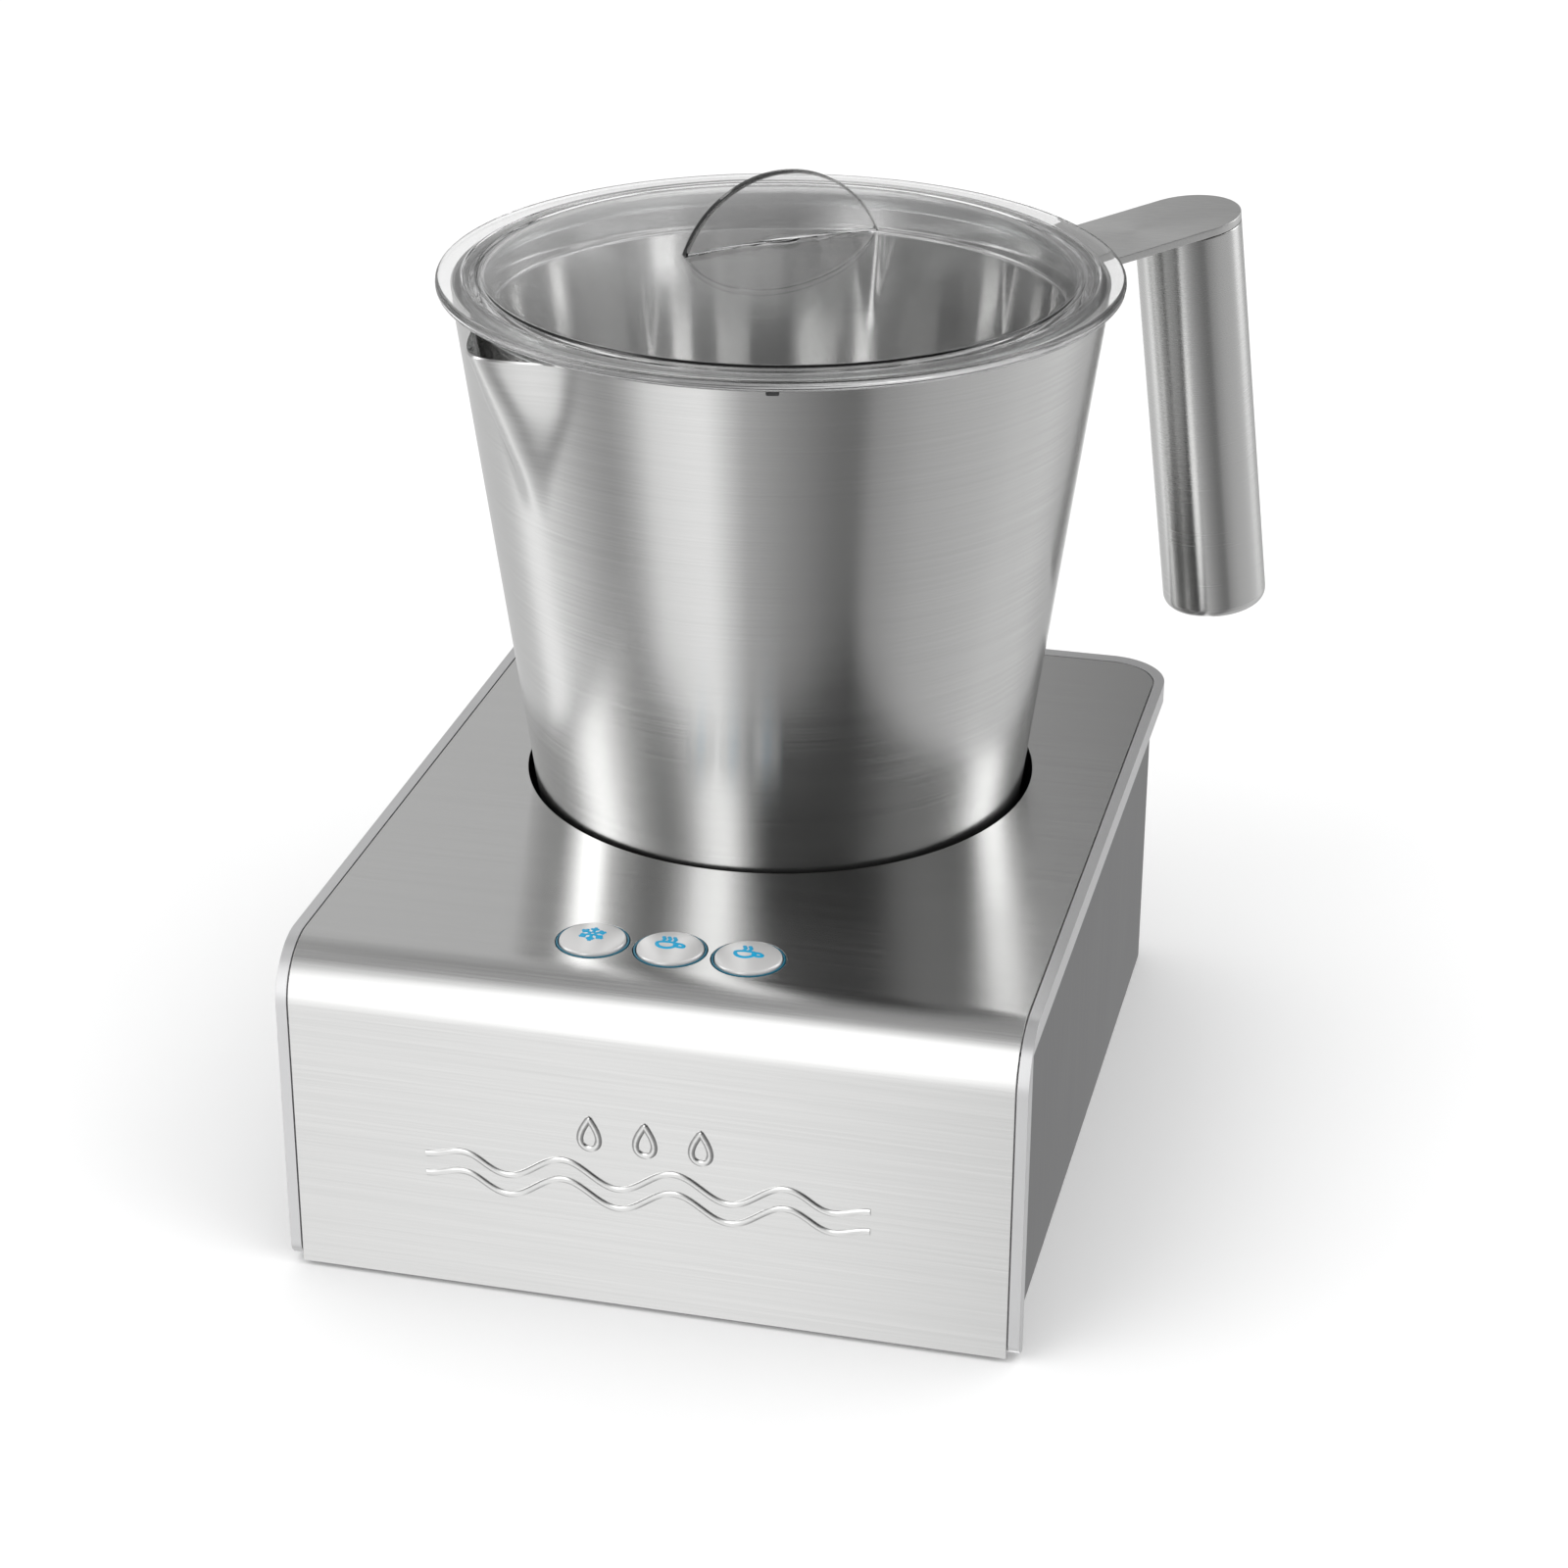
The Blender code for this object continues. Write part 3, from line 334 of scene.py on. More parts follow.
# How often brushed grain changes per metre, along its strokes and across them
ALONG = 16.0
ACROSS = 2600.0
SHEET_GRAIN = (ALONG, ACROSS, ACROSS)
ROUND_GRAIN = (ALONG, ALONG, ACROSS)
UPRIGHT_GRAIN = (ACROSS, ACROSS, ALONG)
LOOKS = {
    "cover": brushed_metal("steel_brushed_across", STEEL, 0.22, SHEET_GRAIN, "X", 0.0, contrast=0.045),
    "jug": brushed_metal("steel_brushed_round", STEEL, 0.21, ROUND_GRAIN, contrast=0.05),
    "inside": brushed_metal("steel_bright_inside", (0.68, 0.68, 0.676), 0.06, ROUND_GRAIN, contrast=0.03),
    "arm": brushed_metal("steel_brushed_arm", STEEL, 0.36, SHEET_GRAIN, "Z", 0.0, 0.6),
    "tube": brushed_metal(
        "steel_brushed_tube", STEEL, 0.26, ROUND_GRAIN, stretch=0.75, contrast=0.03, relief=0.0003 * MM
    ),
    "mark": brushed_metal("steel_raised_mark", scaled(STEEL, 1.08), 0.2, SHEET_GRAIN, "X", 0.0, 0.4),
    "housing": moulded(
        "plastic_silver_satin", (0.62, 0.62, 0.625), 0.3, 3000.0, 0.0006 * MM, 0.03, 0.7, 0.012
    ),
    # The panels below the rim are part of the same housing piece; their far darker colour is painted shade.
    "panel": brushed_metal(
        "panel_brushed_painted_shade", (0.18, 0.18, 0.184), 0.4, UPRIGHT_GRAIN, "Z", 0.25, 0.4, 0.05
    ),
    "well": moulded("plastic_black_well", (0.012, 0.012, 0.013), 0.32, grain=900.0),
    "black": moulded("plastic_black_satin", (0.02, 0.02, 0.022), 0.45),
    "rubber": moulded("rubber_dark", (0.035, 0.035, 0.036), 0.75, grain=800.0, depth=0.04 * MM),
    "plunger": moulded("rubber_plunger", (0.05, 0.05, 0.05), 0.65),
    "lid": clear("plastic_clear_lid", (0.955, 0.955, 0.955), 0.0, 1.49, 0.01),
    # The grip is moulded with the lid; its darker tint is painted shade.
    "fin": clear("plastic_clear_grip_painted_shade", (0.88, 0.88, 0.88), 0.0, 1.49, 0.02),
    "silicone": clear("silicone_clear_seal", (0.93, 0.95, 0.945), 0.18, 1.41, 0.03),
    "cap": moulded("plastic_silver_cap", (0.66, 0.655, 0.65), 0.3, 3000.0, 0.0003 * MM, 0.015, 0.3, 0.012),
    "icon": moulded("print_cyan", (0.0, 0.32, 0.56), 0.4, vary=0.05, depth=0.0006 * MM),
    "glow": moulded("light_guide_teal", (0.015, 0.13, 0.2), 0.3, vary=0.05, depth=0.0006 * MM),
    "board": circuit("circuit_board_green"),
    "coil": wound("wire_copper_rings", (0.80, 0.36, 0.17), 2.0 * MM),
    "choke": wound("wire_copper_choke", (0.78, 0.34, 0.15), 1.2 * MM),
    "ferrite": moulded("ferrite_grey", (0.07, 0.07, 0.075), 0.6, grain=500.0, depth=0.05 * MM, vary=0.2),
    "aluminium": brushed_metal("aluminium_extruded", (0.80, 0.81, 0.82), 0.4, SHEET_GRAIN, "X", 0.0, 0.5),
    "zinc": moulded("steel_zinc_plated", (0.60, 0.61, 0.64), 0.28, 300.0, 0.01 * MM, 0.1, 1.0),
    "wire": moulded("steel_polished_wire", (0.68, 0.68, 0.69), 0.16, 300.0, 0.004 * MM, metallic=1.0),
    "magnet": moulded("magnet_nickel", (0.62, 0.60, 0.56), 0.22, grain=500.0, depth=0.006 * MM, metallic=1.0),
    "white": moulded("plastic_white", (0.78, 0.78, 0.75), 0.42, grain=900.0),
}


# ---------------------------------------------------------------- mesh helpers


def shown(name, mesh, look, body, stands_for=(), matrix=None, angle=32.0):
    """Makes a piece: smooth shading with sharp edges kept, its material, its body and what it replaces."""
    mesh.shade_smooth()
    mesh.set_sharp_from_angle(angle=math.radians(angle))
    mesh.materials.clear()
    mesh.materials.append(LOOKS[look])
    piece = bpy.data.objects.new(name, mesh)
    SCENE.collection.objects.link(piece)
    flat = piece.modifiers.new("flat_faces", "WEIGHTED_NORMAL")
    flat.mode = "FACE_AREA"
    flat.weight = 50
    flat.keep_sharp = True
    piece.matrix_world = Matrix.Translation(AXIS) @ (matrix or Matrix.Identity(4))
    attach(piece, body)
    if stands_for:
        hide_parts(*stands_for)
    return piece


def to_mesh(name, shape):
    bmesh.ops.recalc_face_normals(shape, faces=shape.faces)
    mesh = bpy.data.meshes.new(name)
    shape.to_mesh(mesh)
    shape.free()
    return mesh


def softened(points, cut, steps=4, ring=False):
    """The outline with each corner rounded over the given length. A corner's third number replaces cut."""
    count = len(points)
    made = []
    for i, (x, y, *own) in enumerate(points):
        if not ring and i in (0, count - 1):
            made.append((x, y))
            continue
        corner = Vector((x, y))
        before = Vector(points[i - 1][:2]) - corner
        after = Vector(points[(i + 1) % count][:2]) - corner
        length = min(own[0] if own else cut, before.length * 0.48, after.length * 0.48)
        if length <= 0 or before.angle(after) > math.radians(177):
            made.append((x, y))
            continue
        first = corner + before.normalized() * length
        last = corner + after.normalized() * length
        for step in range(steps + 1):
            t = step / steps
            made.append(tuple((1 - t) ** 2 * first + 2 * t * (1 - t) * corner + t * t * last))
    return made


def revolved(name, profile, steps, ring=False, reshape=None, start=0.0):
    """(radius, height) points turned about Z. An open profile starts and ends on the axis."""
    shape = bmesh.new()
    rows = []
    for radius, height in profile:
        if radius < 1e-7:
            rows.append([shape.verts.new((0.0, 0.0, height))])
            continue
        row = []
        for step in range(steps):
            angle = start + 2 * math.pi * step / steps
            reach = radius + (reshape(angle, height) if reshape else 0.0)
            row.append(shape.verts.new((reach * math.cos(angle), reach * math.sin(angle), height)))
        rows.append(row)
    pairs = list(zip(rows, rows[1:]))
    if ring:
        pairs.append((rows[-1], rows[0]))
    for upper, lower in pairs:
        for step in range(steps):
            after = (step + 1) % steps
            corners = (
                upper[step % len(upper)], upper[after % len(upper)],
                lower[after % len(lower)], lower[step % len(lower)],
            )
            shape.faces.new(dict.fromkeys(corners))
    return to_mesh(name, shape)


def prism(name, outline, low, high, along="Z"):
    """A flat outline drawn out from low to high. Along X, its numbers run along Y and Z."""
    shape = bmesh.new()
    ends = []
    for level in (low, high):
        if along == "Z":
            ends.append([shape.verts.new((x, y, level)) for x, y in outline])
        else:
            ends.append([shape.verts.new((level, x, y)) for x, y in outline])
    for end in ends:
        shape.faces.new(end)
    count = len(outline)
    for i in range(count):
        j = (i + 1) % count
        shape.faces.new((ends[0][i], ends[0][j], ends[1][j], ends[1][i]))
    return to_mesh(name, shape)


def block(name, low, high):
    outline = [(low[0], low[1]), (high[0], low[1]), (high[0], high[1]), (low[0], high[1])]
    return prism(name, outline, low[2], high[2])


def drum(name, radius, bottom, top, place=(0.0, 0.0), steps=64):
    angles = [2 * math.pi * step / steps for step in range(steps)]
    outline = [(place[0] + radius * math.cos(a), place[1] + radius * math.sin(a)) for a in angles]
    return prism(name, outline, bottom, top)


def combined(mesh, others, operation="DIFFERENCE", bevel=0.0, segments=3):
    """The mesh after exact Booleans with the others, one by one, and then a bevel of its sharp edges."""
    item = bpy.data.objects.new("working", mesh)
    SCENE.collection.objects.link(item)
    helpers = []
    for other in others:
        cutter = bpy.data.objects.new("cutter", other)
        SCENE.collection.objects.link(cutter)
        helpers.append(cutter)
        step = item.modifiers.new("boolean", "BOOLEAN")
        step.operation = operation
        step.object = cutter
    if bevel:
        mesh.shade_smooth()
        edges = item.modifiers.new("edges", "BEVEL")
        edges.width = bevel
        edges.segments = segments
        edges.limit_method = "ANGLE"
        edges.angle_limit = BEVEL_FROM
        edges.harden_normals = True
    bpy.context.view_layer.update()
    graph = bpy.context.evaluated_depsgraph_get()
    made = bpy.data.meshes.new_from_object(item.evaluated_get(graph))
    made.name = mesh.name
    for done in (item, *helpers):
        bpy.data.objects.remove(done, do_unlink=True)
    return made


def arc(centre, radius, start, end, steps):
    angles = [math.radians(start + (end - start) * i / steps) for i in range(steps + 1)]
    return [(centre[0] + radius * math.cos(a), centre[1] + radius * math.sin(a)) for a in angles]


def plan_outline(half, back, front, radius):
    right = arc((half - radius, back - radius), radius, 0, 90, 16)
    left = arc((-half + radius, back - radius), radius, 90, 180, 16)
    return [(-half, front), (half, front), *right, *left]


def side_outline(front, top, back, bottom, radius, foot=0.0):
    bend = arc((front + radius, top - radius), radius, 180, 90, 24)
    toe = arc((front + foot, bottom + foot), foot, 270, 180, 8) if foot else [(front, bottom)]
    return [*toe, *bend, (back, top), (back, bottom)]


def band_outline(outward, inward):
    centre = (BASE_FRONT + FRONT_RADIUS, BASE_TOP - FRONT_RADIUS)
    outer = arc(centre, FRONT_RADIUS + outward, 180, 90, 24)
    inner = arc(centre, FRONT_RADIUS - inward, 90, 180, 24)
    back, bottom = SHEET_BACK + 2 * MM, BASE_BOTTOM - outward
    return [
        (BASE_FRONT - outward, bottom), *outer, (back, BASE_TOP + outward),
        (back, BASE_TOP - inward), *inner, (BASE_FRONT + inward, bottom),
    ]


def button_places():
    return [(column * BUTTON_PITCH, BUTTON_Y) for column in (-1, 0, 1)]


def wires(name, lines, radius, sides=3):
    """Round wires along lists of points, as one mesh."""
    curve = bpy.data.curves.new(name, "CURVE")
    curve.dimensions = "3D"
    curve.bevel_depth = radius
    curve.bevel_resolution = sides
    curve.use_fill_caps = True
    for points, closed in lines:
        spline = curve.splines.new("POLY")
        spline.points.add(len(points) - 1)
        for point, place in zip(spline.points, points):
            point.co = (*place, 1.0)
        spline.use_cyclic_u = closed
    item = bpy.data.objects.new(name, curve)
    SCENE.collection.objects.link(item)
    bpy.context.view_layer.update()
    graph = bpy.context.evaluated_depsgraph_get()
    mesh = bpy.data.meshes.new_from_object(item.evaluated_get(graph))
    bpy.data.objects.remove(item, do_unlink=True)
    return mesh


# ---------------------------------------------------------------- base


def build_housing():
    far = BASE_HALF + 20 * MM
    body = prism(
        "housing_shell", side_outline(BASE_FRONT, BASE_TOP, BASE_HALF, BASE_BOTTOM, FRONT_RADIUS, 4 * MM),
        -BASE_HALF, BASE_HALF, "X",
    )
    plan = prism("plan", plan_outline(BASE_HALF, BASE_HALF, BASE_FRONT - MM, REAR_RADIUS), 0.0, BASE_TOP + MM)
    body = combined(body, [plan], "INTERSECT")
    outside = block("outside", (-far, BASE_FRONT + RIM_LEG, -MM), (far, far, BASE_TOP - RIM_DROP))
    panel = prism(
        "panel", plan_outline(PANEL_HALF, PANEL_HALF, BASE_FRONT - MM, REAR_RADIUS - PANEL_INSET),
        -2 * MM, BASE_TOP,
    )
    outside = combined(outside, [panel])
    room_front = BASE_FRONT + SHEET + GAP + WALL
    room = prism(
        "room", side_outline(room_front, DECK_BOTTOM, far, -MM, FRONT_RADIUS - WALL), -far, far, "X"
    )
    room_half = PANEL_HALF - WALL
    room_plan = prism(
        "room_plan", plan_outline(room_half, room_half, BASE_FRONT, REAR_RADIUS - PANEL_INSET - WALL),
        -2 * MM, BASE_TOP,
    )
    room = combined(room, [room_plan], "INTERSECT")
    recess = prism(
        "recess", band_outline(3 * MM, SHEET + GAP), -SHEET_HALF - GAP, SHEET_HALF + GAP, "X"
    )
    recess_plan = prism(
        "recess_plan",
        plan_outline(SHEET_HALF + GAP, SHEET_BACK + GAP, BASE_FRONT - 5 * MM, SHEET_BACK_RADIUS + GAP),
        -5 * MM, BASE_TOP + 5 * MM,
    )
    recess = combined(recess, [recess_plan], "INTERSECT")
    holes = [drum("well_opening", WELL_OUTER + GAP, CUTTER_LOW, CUTTER_HIGH, steps=128)]
    for place in button_places():
        holes.append(drum("button_opening", BUTTON_HOLE + GAP, CUTTER_LOW, CUTTER_HIGH, place))
    gland = drum("gland_opening", 5.3 * MM, -10 * MM, 10 * MM)
    gland.transform(Matrix.Translation(GLAND) @ Matrix.Rotation(math.radians(-90), 4, "X"))
    body = combined(body, [outside, room, recess, *holes, gland], bevel=0.45 * MM)
    shell = shown("housing_shell", body, "housing", "base", ["housing"])
    # Faces below the rim, behind its front leg, take the darker copy: painted shade.
    body.materials.append(LOOKS["panel"])
    reach = PANEL_HALF + 0.2 * MM
    for face in shell.data.polygons:
        x, y, z = face.center
        behind_rim = abs(x) < reach and BASE_FRONT + RIM_LEG - 0.2 * MM < y < reach
        face.material_index = int(behind_rim and z < BASE_TOP - RIM_DROP + 0.2 * MM)


def build_cover():
    sheet = prism("steel_sheet", band_outline(0.0, SHEET), -SHEET_HALF, SHEET_HALF, "X")
    plan = prism(
        "plan", plan_outline(SHEET_HALF, SHEET_BACK, BASE_FRONT - 5 * MM, SHEET_BACK_RADIUS),
        -3 * MM, BASE_TOP + 4 * MM,
    )
    sheet = combined(sheet, [plan], "INTERSECT")
    holes = [drum("well_hole", WELL_HOLE, CUTTER_LOW, CUTTER_HIGH, (0.0, WELL_HOLE_BACK), 180)]
    for place in button_places():
        holes.append(drum("button_hole", BUTTON_HOLE, CUTTER_LOW, CUTTER_HIGH, place))
    sheet = combined(sheet, holes, bevel=0.22 * MM)
    shown("steel_sheet", sheet, "cover", "base", ["steel_cover"])


def build_mark():
    """Two plain raised waves across the front, with three drops over them."""
    lines = []
    for level in WAVE_LEVELS:
        points = []
        for step in range(WAVE_STEPS + 1):
            x = -WAVE_SPAN + 2 * WAVE_SPAN * step / WAVE_STEPS
            fade = min(1.0, (WAVE_SPAN - abs(x)) / 12)
            height = level + WAVE_SWING * fade * math.sin(x * math.pi / WAVE_HALF_LENGTH)
            points.append((x * MM, 0.0, height * MM))
        lines.append((points, False))
    for x in DROP_PLACES:
        drop = []
        for step in range(36):
            angle = 2 * math.pi * step / 36
            width = DROP_HALF_WIDTH * math.sin(angle / 2) ** 1.2
            height = DROP_LEVEL + DROP_HALF_HEIGHT * math.cos(angle)
            drop.append(((x + width * math.sin(angle)) * MM, 0.0, height * MM))
        lines.append((drop, True))
    mesh = wires("front_ornament", lines, 0.75 * MM, 4)
    for vertex in mesh.vertices:
        vertex.co.y = BASE_FRONT + 0.02 * MM + vertex.co.y * 0.5
    shown("front_ornament", mesh, "mark", "base")


def build_well():
    profile = softened(
        [
            (0.0, WELL_FLOOR), (WELL_RADIUS, WELL_FLOOR, 4 * MM), (WELL_RADIUS, WELL_TOP),
            (WELL_OUTER, WELL_TOP), (WELL_OUTER, WELL_BOTTOM, 4 * MM), (0.0, WELL_BOTTOM),
        ],
        0.2 * MM, 6,
    )
    hole = drum("hole", 3.6 * MM, 38 * MM, 44 * MM, (SENSOR_X, 0.0), 48)
    cup = combined(revolved("well_liner", profile, 160), [hole])
    shown("well_liner", cup, "well", "base", ["well_cup"])
    corners = [
        (SEAL_OUTER, SEAL_TOP), (SEAL_OUTER, SEAL_BOTTOM), (SEAL_INNER, SEAL_BOTTOM), (SEAL_INNER, SEAL_TOP),
    ]
    gasket = revolved("well_gasket", softened(corners, 0.15 * MM, 3, True), 160, ring=True)
    shown("well_gasket", gasket, "rubber", "base", ["well_seal"])


def build_sensor_spring():
    """The spring under the sensor cap."""
    turns, per_turn = 3, 24
    points = []
    for step in range(turns * per_turn + 1):
        angle = 2 * math.pi * step / per_turn
        height = SPRING_LOW + (SPRING_HIGH - SPRING_LOW) * step / (turns * per_turn)
        points.append(
            (SENSOR_X + SPRING_RADIUS * math.cos(angle), SPRING_RADIUS * math.sin(angle), height)
        )
    mesh = wires("sensor_coil_spring", [(points, False)], 0.3 * MM)
    spring = shown("sensor_coil_spring", mesh, "zinc", "base", ["sensor_spring"])
    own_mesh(spring)


def build_gland():
    profile = softened(
        [
            (7.2 * MM, 2.6 * MM), (8 * MM, 1.8 * MM), (8 * MM, GAP), (GLAND_NECK, GAP),
            (GLAND_NECK, -2.8 * MM), (7.5 * MM, -2.8 * MM), (7.5 * MM, -4.8 * MM),
            (GLAND_BORE, -4.8 * MM), (GLAND_BORE, 2.6 * MM),
        ],
        0.4 * MM, 4, True,
    )
    turn = Matrix.Translation(GLAND) @ Matrix.Rotation(math.radians(-90), 4, "X")
    mesh = revolved("cord_grommet", profile, 64, ring=True)
    shown("cord_grommet", mesh, "rubber", "base", ["cord_gland"], turn)


# ---------------------------------------------------------------- buttons


def cap_height(x, y):
    """Top face of a button, above the floor."""
    return CAP_CROWN - CAP_FALL * (math.hypot(x, y) / CAP_SPAN) ** 2


def snowflake():
    lines = []
    for arm in range(6):
        turn = math.radians(60 * arm + 30)
        along = Vector((math.cos(turn), math.sin(turn)))
        lines.append([along * 0.35, along * 2.8])
        for side in (-1, 1):
            branch = Vector((math.cos(turn + side * 0.9), math.sin(turn + side * 0.9)))
            lines.append([along * 1.55, along * 1.55 + branch * 0.95])
    return lines


def steaming_cup(plumes):
    """A cup from the side: a bowl that is flat on top, a ring for its handle, and waves of steam."""
    bowl = []
    for step in range(24):
        turn = math.pi * step / 12
        depth = 1.0 if turn > math.pi else 0.18
        bowl.append(Vector((-0.55 + 2.1 * math.cos(turn), -0.1 + 2.0 * math.sin(turn) * depth)))
    handle = []
    for step in range(16):
        turn = math.pi * step / 8
        handle.append(Vector((2.05 + 0.95 * math.cos(turn), -0.55 + 0.62 * math.sin(turn))))
    lines = [[*bowl, bowl[0]], [*handle, handle[0]]]
    for plume in range(plumes):
        x = -0.55 + (plume - (plumes - 1) / 2) * 1.15
        rises = [step / 8 for step in range(9)]
        lines.append([Vector((x + 0.25 * math.sin(rise * 5.0), 0.75 + 1.9 * rise)) for rise in rises])
    return lines


def build_buttons():
    profile = [(radius * MM, cap_height(radius * MM, 0.0)) for radius in (0.0, 1.4, 2.8, 4.0, 5.0, 5.8)]
    profile += softened(
        [
            (CAP_FLAT, cap_height(CAP_FLAT, 0.0)), (BUTTON_RADIUS, BUTTON_SHOULDER, 0.5 * MM),
            (BUTTON_RADIUS, BUTTON_UNDER, 0.1 * MM), (BUTTON_STEM, BUTTON_UNDER), (BUTTON_STEM, STEM_END),
            (0.0, STEM_END),
        ],
        0.1 * MM, 5,
    )[1:]
    icons = (snowflake(), steaming_cup(3), steaming_cup(2))
    for index, ((x, y), place, lines) in enumerate(zip(button_places(), BUTTON_NAMES, icons), 1):
        body = f"button_{place}"
        turn = Matrix.Translation((x, y, 0.0))
        cap = revolved(f"button_cap_{place}", profile, 72)
        shown(f"button_cap_{place}", cap, "cap", body, [f"button_{index}"], turn, 50)
        strokes = [([(point.x * MM, point.y * MM, 0.0) for point in line], False) for line in lines]
        icon = wires(f"button_icon_{place}", strokes, 0.4 * MM, 2)
        for vertex in icon.vertices:
            vertex.co.z = cap_height(vertex.co.x, vertex.co.y) + vertex.co.z * 0.3
        shown(f"button_icon_{place}", icon, "icon", body, (), turn, 60)
        corners = [
            (GLOW_OUTER, GLOW_TOP), (GLOW_OUTER, GLOW_BOTTOM),
            (GLOW_INNER, GLOW_BOTTOM), (GLOW_INNER, GLOW_TOP),
        ]
        ring = revolved(f"button_glow_{place}", softened(corners, 0.1 * MM, 2, True), 72, ring=True)
        shown(f"button_glow_{place}", ring, "glow", "base", [f"light_ring_{index}"], turn)


# ---------------------------------------------------------------- jug and handle


def wall_radius(height):
    return JUG_TOP_RADIUS - JUG_TAPER * (JUG_TOP - height)


def eased(value, width):
    """max(value, 0) with the kink at 0 rounded over the given width."""
    if abs(value) >= width:
        return max(value, 0.0)
    return (value + width) ** 2 / (4 * width)


def spout_push(angle, height):
    """How far the pressed spout stands out of the round wall: a V at the rim, rounded off into a swelling."""
    rise = eased((height - SPOUT_APEX) / (JUG_TOP - SPOUT_APEX), 0.2)
    away = abs((angle - SPOUT_ANGLE + math.pi) % (2 * math.pi) - math.pi)
    narrow = 0.25 + 0.75 * rise
    ridge = 0.2
    peak = math.sqrt(1 + ridge * ridge)
    spread = away / (SPOUT_HALF_ANGLE * narrow)
    fold = eased((peak - math.sqrt(spread * spread + ridge * ridge)) / (peak - ridge), 0.4)
    swell = (1 + math.cos(math.pi * min(1.0, away / (SPOUT_SWELL_ANGLE * narrow)))) / 2
    below = min(1.0, (JUG_TOP - height) / (14 * MM))
    blend = below * below * (3 - 2 * below)
    return SPOUT_REACH * rise * (fold * (1 - blend) + swell * blend)


def build_jug():
    spout_depth = JUG_TOP - SPOUT_ROWS_END
    heights = [JUG_TOP - 0.35 * MM - spout_depth * row / SPOUT_ROWS for row in range(SPOUT_ROWS + 1)]
    heights += PLAIN_ROWS
    outer = [(wall_radius(height), height) for height in heights]
    low = JUG_FOOT + JUG_CORNER
    outer.append((wall_radius(low), low))
    corner = wall_radius(low) - JUG_CORNER
    outer += arc((corner, low), JUG_CORNER, 0, -90, 10)[1:]
    raised = [(corner - 2.8 * MM, JUG_FLOOR), (0.0, JUG_FLOOR)]
    foot = softened([(corner, JUG_FOOT), (corner - 2 * MM, JUG_FOOT), *raised], 0.6 * MM)[1:]
    inner_floor = JUG_FLOOR + JUG_SHEET
    inner = [(wall_radius(height) - JUG_SHEET, height) for height in reversed(heights)]
    inner_corner = (wall_radius(low) - 1.5 * MM - JUG_SHEET, inner_floor, JUG_CORNER)
    bowl = softened([(0.0, inner_floor), inner_corner, inner[0]], JUG_CORNER, 8)[:-1]
    rim_middle = (JUG_TOP_RADIUS - JUG_SHEET / 2, JUG_TOP)
    profile = [*bowl, *inner, rim_middle, *outer, *foot]
    mesh = revolved("jug_shell", profile, JUG_STEPS, reshape=spout_push, start=SPOUT_ANGLE)
    shown("jug_shell", mesh, "jug", "jug", ["jug_body"], angle=40)
    mesh.materials.append(LOOKS["inside"])
    for face in mesh.polygons:
        inward = face.normal.x * face.center.x + face.normal.y * face.center.y < 0
        floor = face.normal.z > 0.7 and face.center.z < JUG_FOOT + 10 * MM
        face.material_index = int(floor or (inward and JUG_FLOOR < face.center.z < JUG_TOP - MM))


def handle_frame():
    place = (HANDLE_REACH * math.cos(HANDLE_ANGLE), HANDLE_REACH * math.sin(HANDLE_ANGLE), HANDLE_TOP)
    turn = Matrix.Rotation(HANDLE_ANGLE, 4, "Z") @ Matrix.Rotation(-HANDLE_TILT, 4, "Y")
    return Matrix.Translation(place) @ turn


def baked(mesh, matrix):
    mesh.transform(matrix)
    return mesh


def build_handle():
    local = handle_frame()
    inner_end = -36 * MM
    end = arc((0.0, 0.0), HANDLE_RADIUS, -90, 90, 48)
    outline = [(inner_end, -HANDLE_RADIUS), *end, (inner_end, HANDLE_RADIUS)]
    plate = prism("handle_plate", outline, -ARM_THICKNESS, 0.0)
    above, below, clear_by = 195 * MM, 160 * MM, 0.05 * MM
    wall = [(wall_radius(above) + clear_by, above), (wall_radius(below) + clear_by, below)]
    jug = revolved("around_jug", [(0.0, above), *wall, (0.0, below)], 180)
    jug.transform(local.inverted())
    plate = combined(plate, [jug], bevel=0.35 * MM)
    shown("handle_plate", baked(plate, local), "arm", "jug", ["handle_arm"])

    top, bottom = -ARM_THICKNESS - 0.12 * MM, -HANDLE_LENGTH
    inner = HANDLE_RADIUS - HANDLE_WALL
    profile = softened(
        [
            (0.0, bottom + HANDLE_WALL), (inner, bottom + HANDLE_WALL, 2 * MM), (inner, top, 0.1 * MM),
            (HANDLE_RADIUS, top, 0.25 * MM), (HANDLE_RADIUS, bottom, 2.6 * MM), (0.0, bottom),
        ],
        0.2 * MM, 8,
    )
    upright = local @ Matrix.Rotation(-HANDLE_ANGLE, 4, "Z")
    tube = revolved("handle_grip", profile, 128)
    shown("handle_grip", tube, "tube", "jug", ["handle_tube"], upright)


# ---------------------------------------------------------------- lid


def dome_height(radius, drop=0.0):
    sphere = (DOME_RADIUS**2 + DOME_RISE**2) / (2 * DOME_RISE)
    return DOME_EDGE + DOME_RISE - drop - sphere + math.sqrt(sphere**2 - radius**2)


